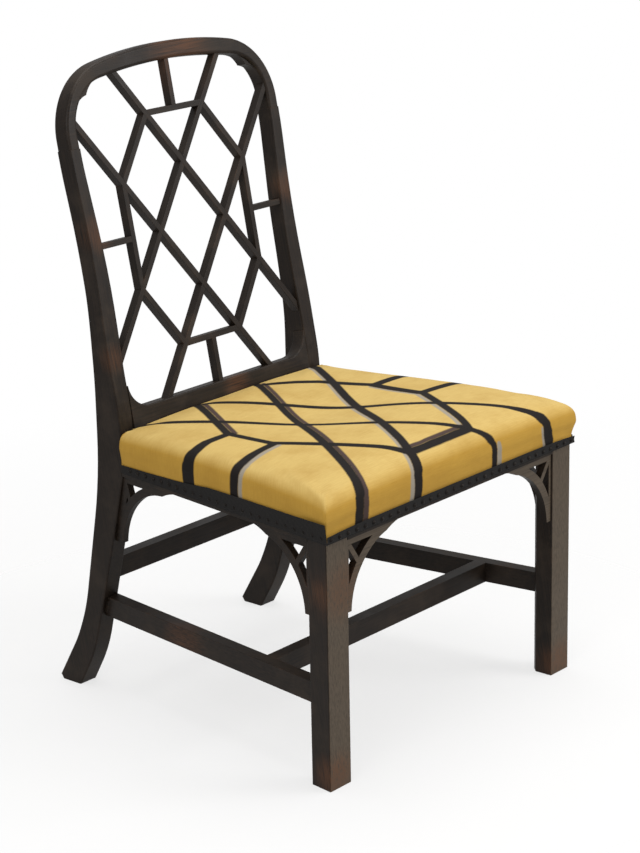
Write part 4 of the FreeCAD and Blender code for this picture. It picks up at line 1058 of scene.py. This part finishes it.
@dataclass
class Trim:
    """Braid round the cover's lower edge and the nails that hold it. Sizes are in mm."""

    braid: WovenTape = WovenTape("woven_braid", "#0a0807", "#17120f", 1.6)
    nail: OldMetal = OldMetal("blackened_iron", "#2a2522", "#171310", 0.5, 0.7)
    cord: float = 0.5
    cord_share: float = 0.2
    cord_turn: float = 0.8
    plait: float = 0.35
    slant: float = 9.0
    thick: float = 1.0
    pitch: float = 3.0
    pitch_steps: int = 4
    rows: int = 8
    samples: int = 9
    front_in: float = 2.0
    front_sunk: float = 0.9
    dip: float = 3.5
    dip_power: int = 6
    hem_cover: float = 2.8
    side_out: float = 4.0
    side_lean: float = 0.34
    sides: tuple[SideBraid, ...] = (
        SideBraid("braid_left", -1.0, -3.0, ((0.0, 13.2), (0.13, 11.8), (0.4, 10.4), (0.55, 8.6), (0.62, 5.0),
                                             (0.69, 1.8), (0.85, -2.0), (1.0, -4.2))),
        SideBraid("braid_right", 1.0, 3.0, ((0.0, -6.0), (0.08, 0.0), (1.0, 0.0))),
    )

    def on_front(self, low: Vector, high: Vector, along: float, up: float) -> Vector:
        """Place on the front's braid, whose upper edge dips at both ends.

        Args:
            low: the lower corner of the node's box.
            high: its upper corner.
            along: the share of the length.
            up: the share of the height.

        Returns:
            The point in the row frame.
        """
        x = (low.x + self.front_in * MM) * (1.0 - 2.0 * along)
        tall = high.z - low.z - self.dip * (2.0 * along - 1.0) ** self.dip_power * MM
        return Vector((x, low.y + self.front_sunk * MM, low.z + up * tall))

    def on_side(self, side: SideBraid, low: Vector, high: Vector, along: float, up: float) -> Vector:
        """Place on a side's braid, which covers the hem and leans out where it rises.

        Args:
            side: which braid.
            low: the lower corner of the node's box.
            high: its upper corner.
            along: the share of the length.
            up: the share of the height.

        Returns:
            The point in the row frame.
        """
        y = low.y + side.start * MM + along * (high.y - low.y - side.start * MM)
        rise = up * read_table(side.rises, along)
        x = seat_half((y - FRONT_Y) / MM) + self.side_out + self.side_lean * max(0.0, rise)
        bottom = low.z - self.hem_cover * MM
        return Vector((side.sign * x * MM, y, bottom + up * (high.z - bottom) + rise * MM))

    def weave(self, node: str, sits: Callable[[float, float], Vector], outward: Vector, axis: int,
              material: Material, cushion: Piece) -> None:
        """Models one length of braid: a flat plait between two edge cords.

        Args:
            node: the CAD node it stands for.
            sits: gives the place for a share of the length and of the height.
            outward: where its face looks.
            axis: the axis along its length.
            material: its finish.
            cushion: not used.
        """
        low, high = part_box(node)
        bm = grid(round((high[axis] - low[axis]) / (self.pitch / self.pitch_steps * MM)), self.rows)
        length = (sits(1.0, 0.0) - sits(0.0, 0.0)).length
        for v in bm.verts:
            along, up = (v.co.x + 1.0) / 2.0, (v.co.y + 1.0) / 2.0
            edge = max(0.0, 1.0 - min(up, 1.0 - up) / self.cord_share)
            turn = along * length / (self.pitch * MM) * 2.0 * math.pi + abs(up - 0.5) * self.slant
            rise = self.cord * math.sin(edge * math.pi * self.cord_turn)
            rise += self.plait * (0.5 + 0.5 * math.sin(turn))
            v.co = sits(along, up) + outward * rise * MM
        piece = finish_piece(node + "_weave", bm, material, (node,), self.thick)
        heights = [(sits(a, 1.0) - sits(a, 0.0)).length for a in np.linspace(0.0, 1.0, self.samples)]

    def build(self, nodes: dict[str, Piece], cushion: Piece) -> None:
        """Makes the three lengths of braid and dresses the nails.

        Args:
            nodes: the CAD nodes by name.
            cushion: the cover that the braid lies on.
        """
        material = self.braid.make()
        on_front = partial(self.on_front, *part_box("braid_front"))
        self.weave("braid_front", on_front, Vector((0.0, -1.0, 0.0)), 0, material, cushion)
        for side in self.sides:
            outward = Vector((side.sign, SEAT_TAPER, 0.0)).normalized()
            on_side = partial(self.on_side, side, *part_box(side.node))
            self.weave(side.node, on_side, outward, 1, material, cushion)
        set_finish(nodes["braid_nails"], self.nail.make())


# Underside of the seat
@dataclass
class SeatSupport:
    """Webbing straps woven through each other and the base cloth that lies on them. Sizes are in mm."""

    jute: WovenTape = WovenTape("jute_webbing", "#9a7b4f", "#5e4526", 2.0)
    hessian: WovenTape = WovenTape("hessian", "#b99b6b", "#7c6039", 1.8)
    low_z: float = 400.7
    high_z: float = 402.1
    thick: float = 1.2
    strap_half: float = 25.0
    strap_step: float = 4.0
    strap_rows: int = 10
    ramp: float = 34.0
    cloth_z: float = 403.3
    cloth_thick: float = 0.7
    cloth_in: float = 4.0
    cloth_half: tuple[float, float] = (270.0, 213.0)
    cloth_cells: tuple[int, int] = (100, 78)
    sag: float = 1.1
    sag_reach: float = 14.0
    strap_clear: float = 27.0
    rail_clear: float = 26.0
    lengthways: tuple[str, ...] = ("web_strap_left", "web_strap_middle", "web_strap_right")
    crossways: tuple[str, ...] = ("web_strap_front", "web_strap_centre", "web_strap_rear")
    rails: tuple[tuple[str, ...], ...] = (("side_seat_rail_left", "side_seat_rail_right"),
                                          ("front_seat_rail", "rear_seat_rail"))

    def height(self, t: float, crossings: list[tuple[float, bool]]) -> float:
        """Height of a strap's middle at a place along it.

        Args:
            t: the place, in mm.
            crossings: where it meets the other straps, and whether it passes over.

        Returns:
            The height in mm.
        """
        away = min(abs(t - centre) for centre, over in crossings if over)
        near = (self.strap_half + self.ramp - away) / self.ramp
        return self.low_z + (self.high_z - self.low_z) * eased(near)

    def strap(self, node: str, axis: int, crossings: list[tuple[float, bool]],
              material: Material) -> None:
        """Models one strap.

        Args:
            node: the CAD node it stands for.
            axis: 0 across the seat, 1 from front to rear.
            crossings: where it meets the other straps, in mm along the axis, and whether it passes over.
            material: its finish.
        """
        low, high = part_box(node)
        length = high[axis] - low[axis]
        cells = (round(length / (self.strap_step * MM)), self.strap_rows)
        bm = grid(cells[axis], cells[1 - axis])
        for v in bm.verts:
            spot = [low[i] + (v.co[i] + 1.0) / 2.0 * (high[i] - low[i]) for i in (0, 1)]
            v.co = (*spot, self.height(spot[axis] / MM, crossings) * MM + self.thick / 2 * MM)
        piece = finish_piece(node + "_weave", bm, material, (node,), self.thick)

    def middle(self, node: str, axis: int) -> float:
        """Middle of a node's box along an axis, in mm."""
        low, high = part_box(node)
        return (low[axis] + high[axis]) / 2 / MM

    def base_cloth(self, material: Material) -> None:
        """Models the cloth on the webbing, pressed a little through its gaps.

        Args:
            material: its finish.
        """
        low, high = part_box("base_cloth")
        straps_x = [self.middle(n, 0) for n in self.lengthways]
        straps_y = [self.middle(n, 1) for n in self.crossways]
        bm = grid(*self.cloth_cells)
        for v in bm.verts:
            y = low.y + (v.co.y + 1.0) / 2.0 * (high.y - low.y)
            x = v.co.x * (seat_half((y - FRONT_Y) / MM) - self.cloth_in) * MM
            strap = min([abs(x / MM - s) for s in straps_x] + [abs(y / MM - s) for s in straps_y])
            rail = min((1.0 - abs(c)) * half for c, half in zip(v.co, self.cloth_half))
            press = eased(min(strap - self.strap_clear, rail - self.rail_clear) / self.sag_reach)
            v.co = (x, y, (self.cloth_z - self.sag * press) * MM)
        piece = finish_piece("base_cloth_sheet", bm, material, ("base_cloth",),
                             self.cloth_thick)

    def build(self) -> None:
        """Weaves the six straps and lays the base cloth."""
        webbing = self.jute.make()
        for i, node in enumerate(self.lengthways):
            crossings = [(self.middle(other, 1), (i + j) % 2 == 0) for j, other in enumerate(self.crossways)]
            self.strap(node, 1, crossings, webbing)
        for j, node in enumerate(self.crossways):
            crossings = [(self.middle(other, 0), (i + j) % 2 == 1) for i, other in enumerate(self.lengthways)]
            self.strap(node, 0, crossings, webbing)
        self.base_cloth(self.hessian.make())


# Studio
@dataclass(frozen=True)
class Lamp:
    """One soft round lamp: its name, its place and diameter in metres, and its power in watts."""

    name: str
    at: Triple
    size: float
    power: float


@dataclass
class Studio:
    """Pale floor, soft light and the camera. Sizes are in metres."""

    eye: Triple = (-2.6600, -2.31797, 1.47812)
    right: Triple = (0.645517, -0.763509, -0.019016)
    up: Triple = (0.234533, 0.17447, 0.956324)
    focal_px: float = 2488.855
    frame_px: float = 853.0
    sensor_mm: float = 36.0
    clip: tuple[float, float] = (0.05, 60.0)
    floor_code: str = "#f4f3f2"
    floor_roughness: float = 0.9
    floor_specular: float = 0.1
    floor_share: float = 0.3
    floor_fade: tuple[float, float] = (0.5, 1.6)
    floor_half: float = 7.0
    floor_cells: int = 8
    fill: float = 0.45
    aim: Triple = (0.0, 0.0, 0.45)
    lamps: tuple[Lamp, ...] = (
        Lamp("top", (0.3, -0.1, 3.2), 2.6, 51.0),
        Lamp("key", (1.9, -2.7, 2.0), 1.8, 48.0),
        Lamp("left", (-2.8, -1.0, 2.2), 2.0, 24.0),
    )

    def camera(self) -> None:
        """Sets the camera at the view of the picture that the chair was measured from."""
        data = bpy.data.cameras.new("camera")
        data.sensor_width = self.sensor_mm
        data.lens = self.focal_px * self.sensor_mm / self.frame_px
        data.clip_start, data.clip_end = self.clip
        eye = add_object("camera", data)
        right, up = Vector(self.right), Vector(self.up)
        turn = Matrix((right, up, right.cross(up))).transposed().to_4x4()
        eye.matrix_world = Matrix.Translation(self.eye) @ turn
        bpy.context.scene.camera = eye

    def floor(self) -> None:
        """Lays the floor, which fades out far from the chair."""
        bm = grid(self.floor_cells, self.floor_cells, self.floor_half)
        mesh = bpy.data.meshes.new("floor")
        bm.to_mesh(mesh)
        bm.free()
        material, tree, shader, where = new_material("pale_floor")
        feed(tree, shader, {"Base Color": linear(self.floor_code), "Roughness": self.floor_roughness,
                            "Specular IOR Level": self.floor_specular})
        away = add_node(tree, "VectorMath", {"operation": "LENGTH", 0: where}).outputs["Value"]
        fade = remap(tree, away, *self.floor_fade, low=1.0 - self.floor_share, smooth=True)
        clear = add_node(tree, "BsdfTransparent").outputs[0]
        mixed = add_node(tree, "MixShader", {0: fade, 1: shader.outputs[0], 2: clear}).outputs[0]
        feed(tree, tree.nodes["Material Output"], {"Surface": mixed})
        mesh.materials.append(material)
        floor = add_object("floor", mesh)
        floor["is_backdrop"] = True

    def light(self, lamp: Lamp) -> None:
        """Hangs one lamp that faces the chair.

        Args:
            lamp: the lamp.
        """
        data = bpy.data.lights.new(lamp.name, "AREA")
        data.shape = "DISK"
        data.size = lamp.size
        data.energy = lamp.power
        hung = add_object(lamp.name, data)
        hung.location = lamp.at
        hung.rotation_mode = "QUATERNION"
        hung.rotation_quaternion = (Vector(self.aim) - Vector(lamp.at)).to_track_quat("-Z", "Y")

    def build(self) -> None:
        """Sets up camera, floor, lamps and a white surround."""
        self.camera()
        self.floor()
        for lamp in self.lamps:
            self.light(lamp)
        world = bpy.data.worlds.new("surround")
        world.use_nodes = True
        tree = world.node_tree
        seen = add_node(tree, "LightPath").outputs["Is Camera Ray"]
        strength = remap(tree, seen, 0.0, 1.0, low=self.fill)
        feed(tree, tree.nodes["Background"], {"Color": linear("#ffffff"), "Strength": strength})
        bpy.context.scene.world = world
        bpy.context.scene.view_settings.view_transform = "Standard"


def main() -> None:
    """Builds the chair's pieces in order and reports each."""
    logging.basicConfig(level=logging.INFO, format="%(name)s: %(message)s")
    nodes = frame["nodes"]
    Studio().build()
    Joinery().dress(nodes)
    SeatSupport().build()
    cushion = SeatCover().build()
    Trim().build(nodes, cushion)
    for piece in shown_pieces():
        LOG.info("piece %s", piece.name)


if __name__ == "__main__":
    main()
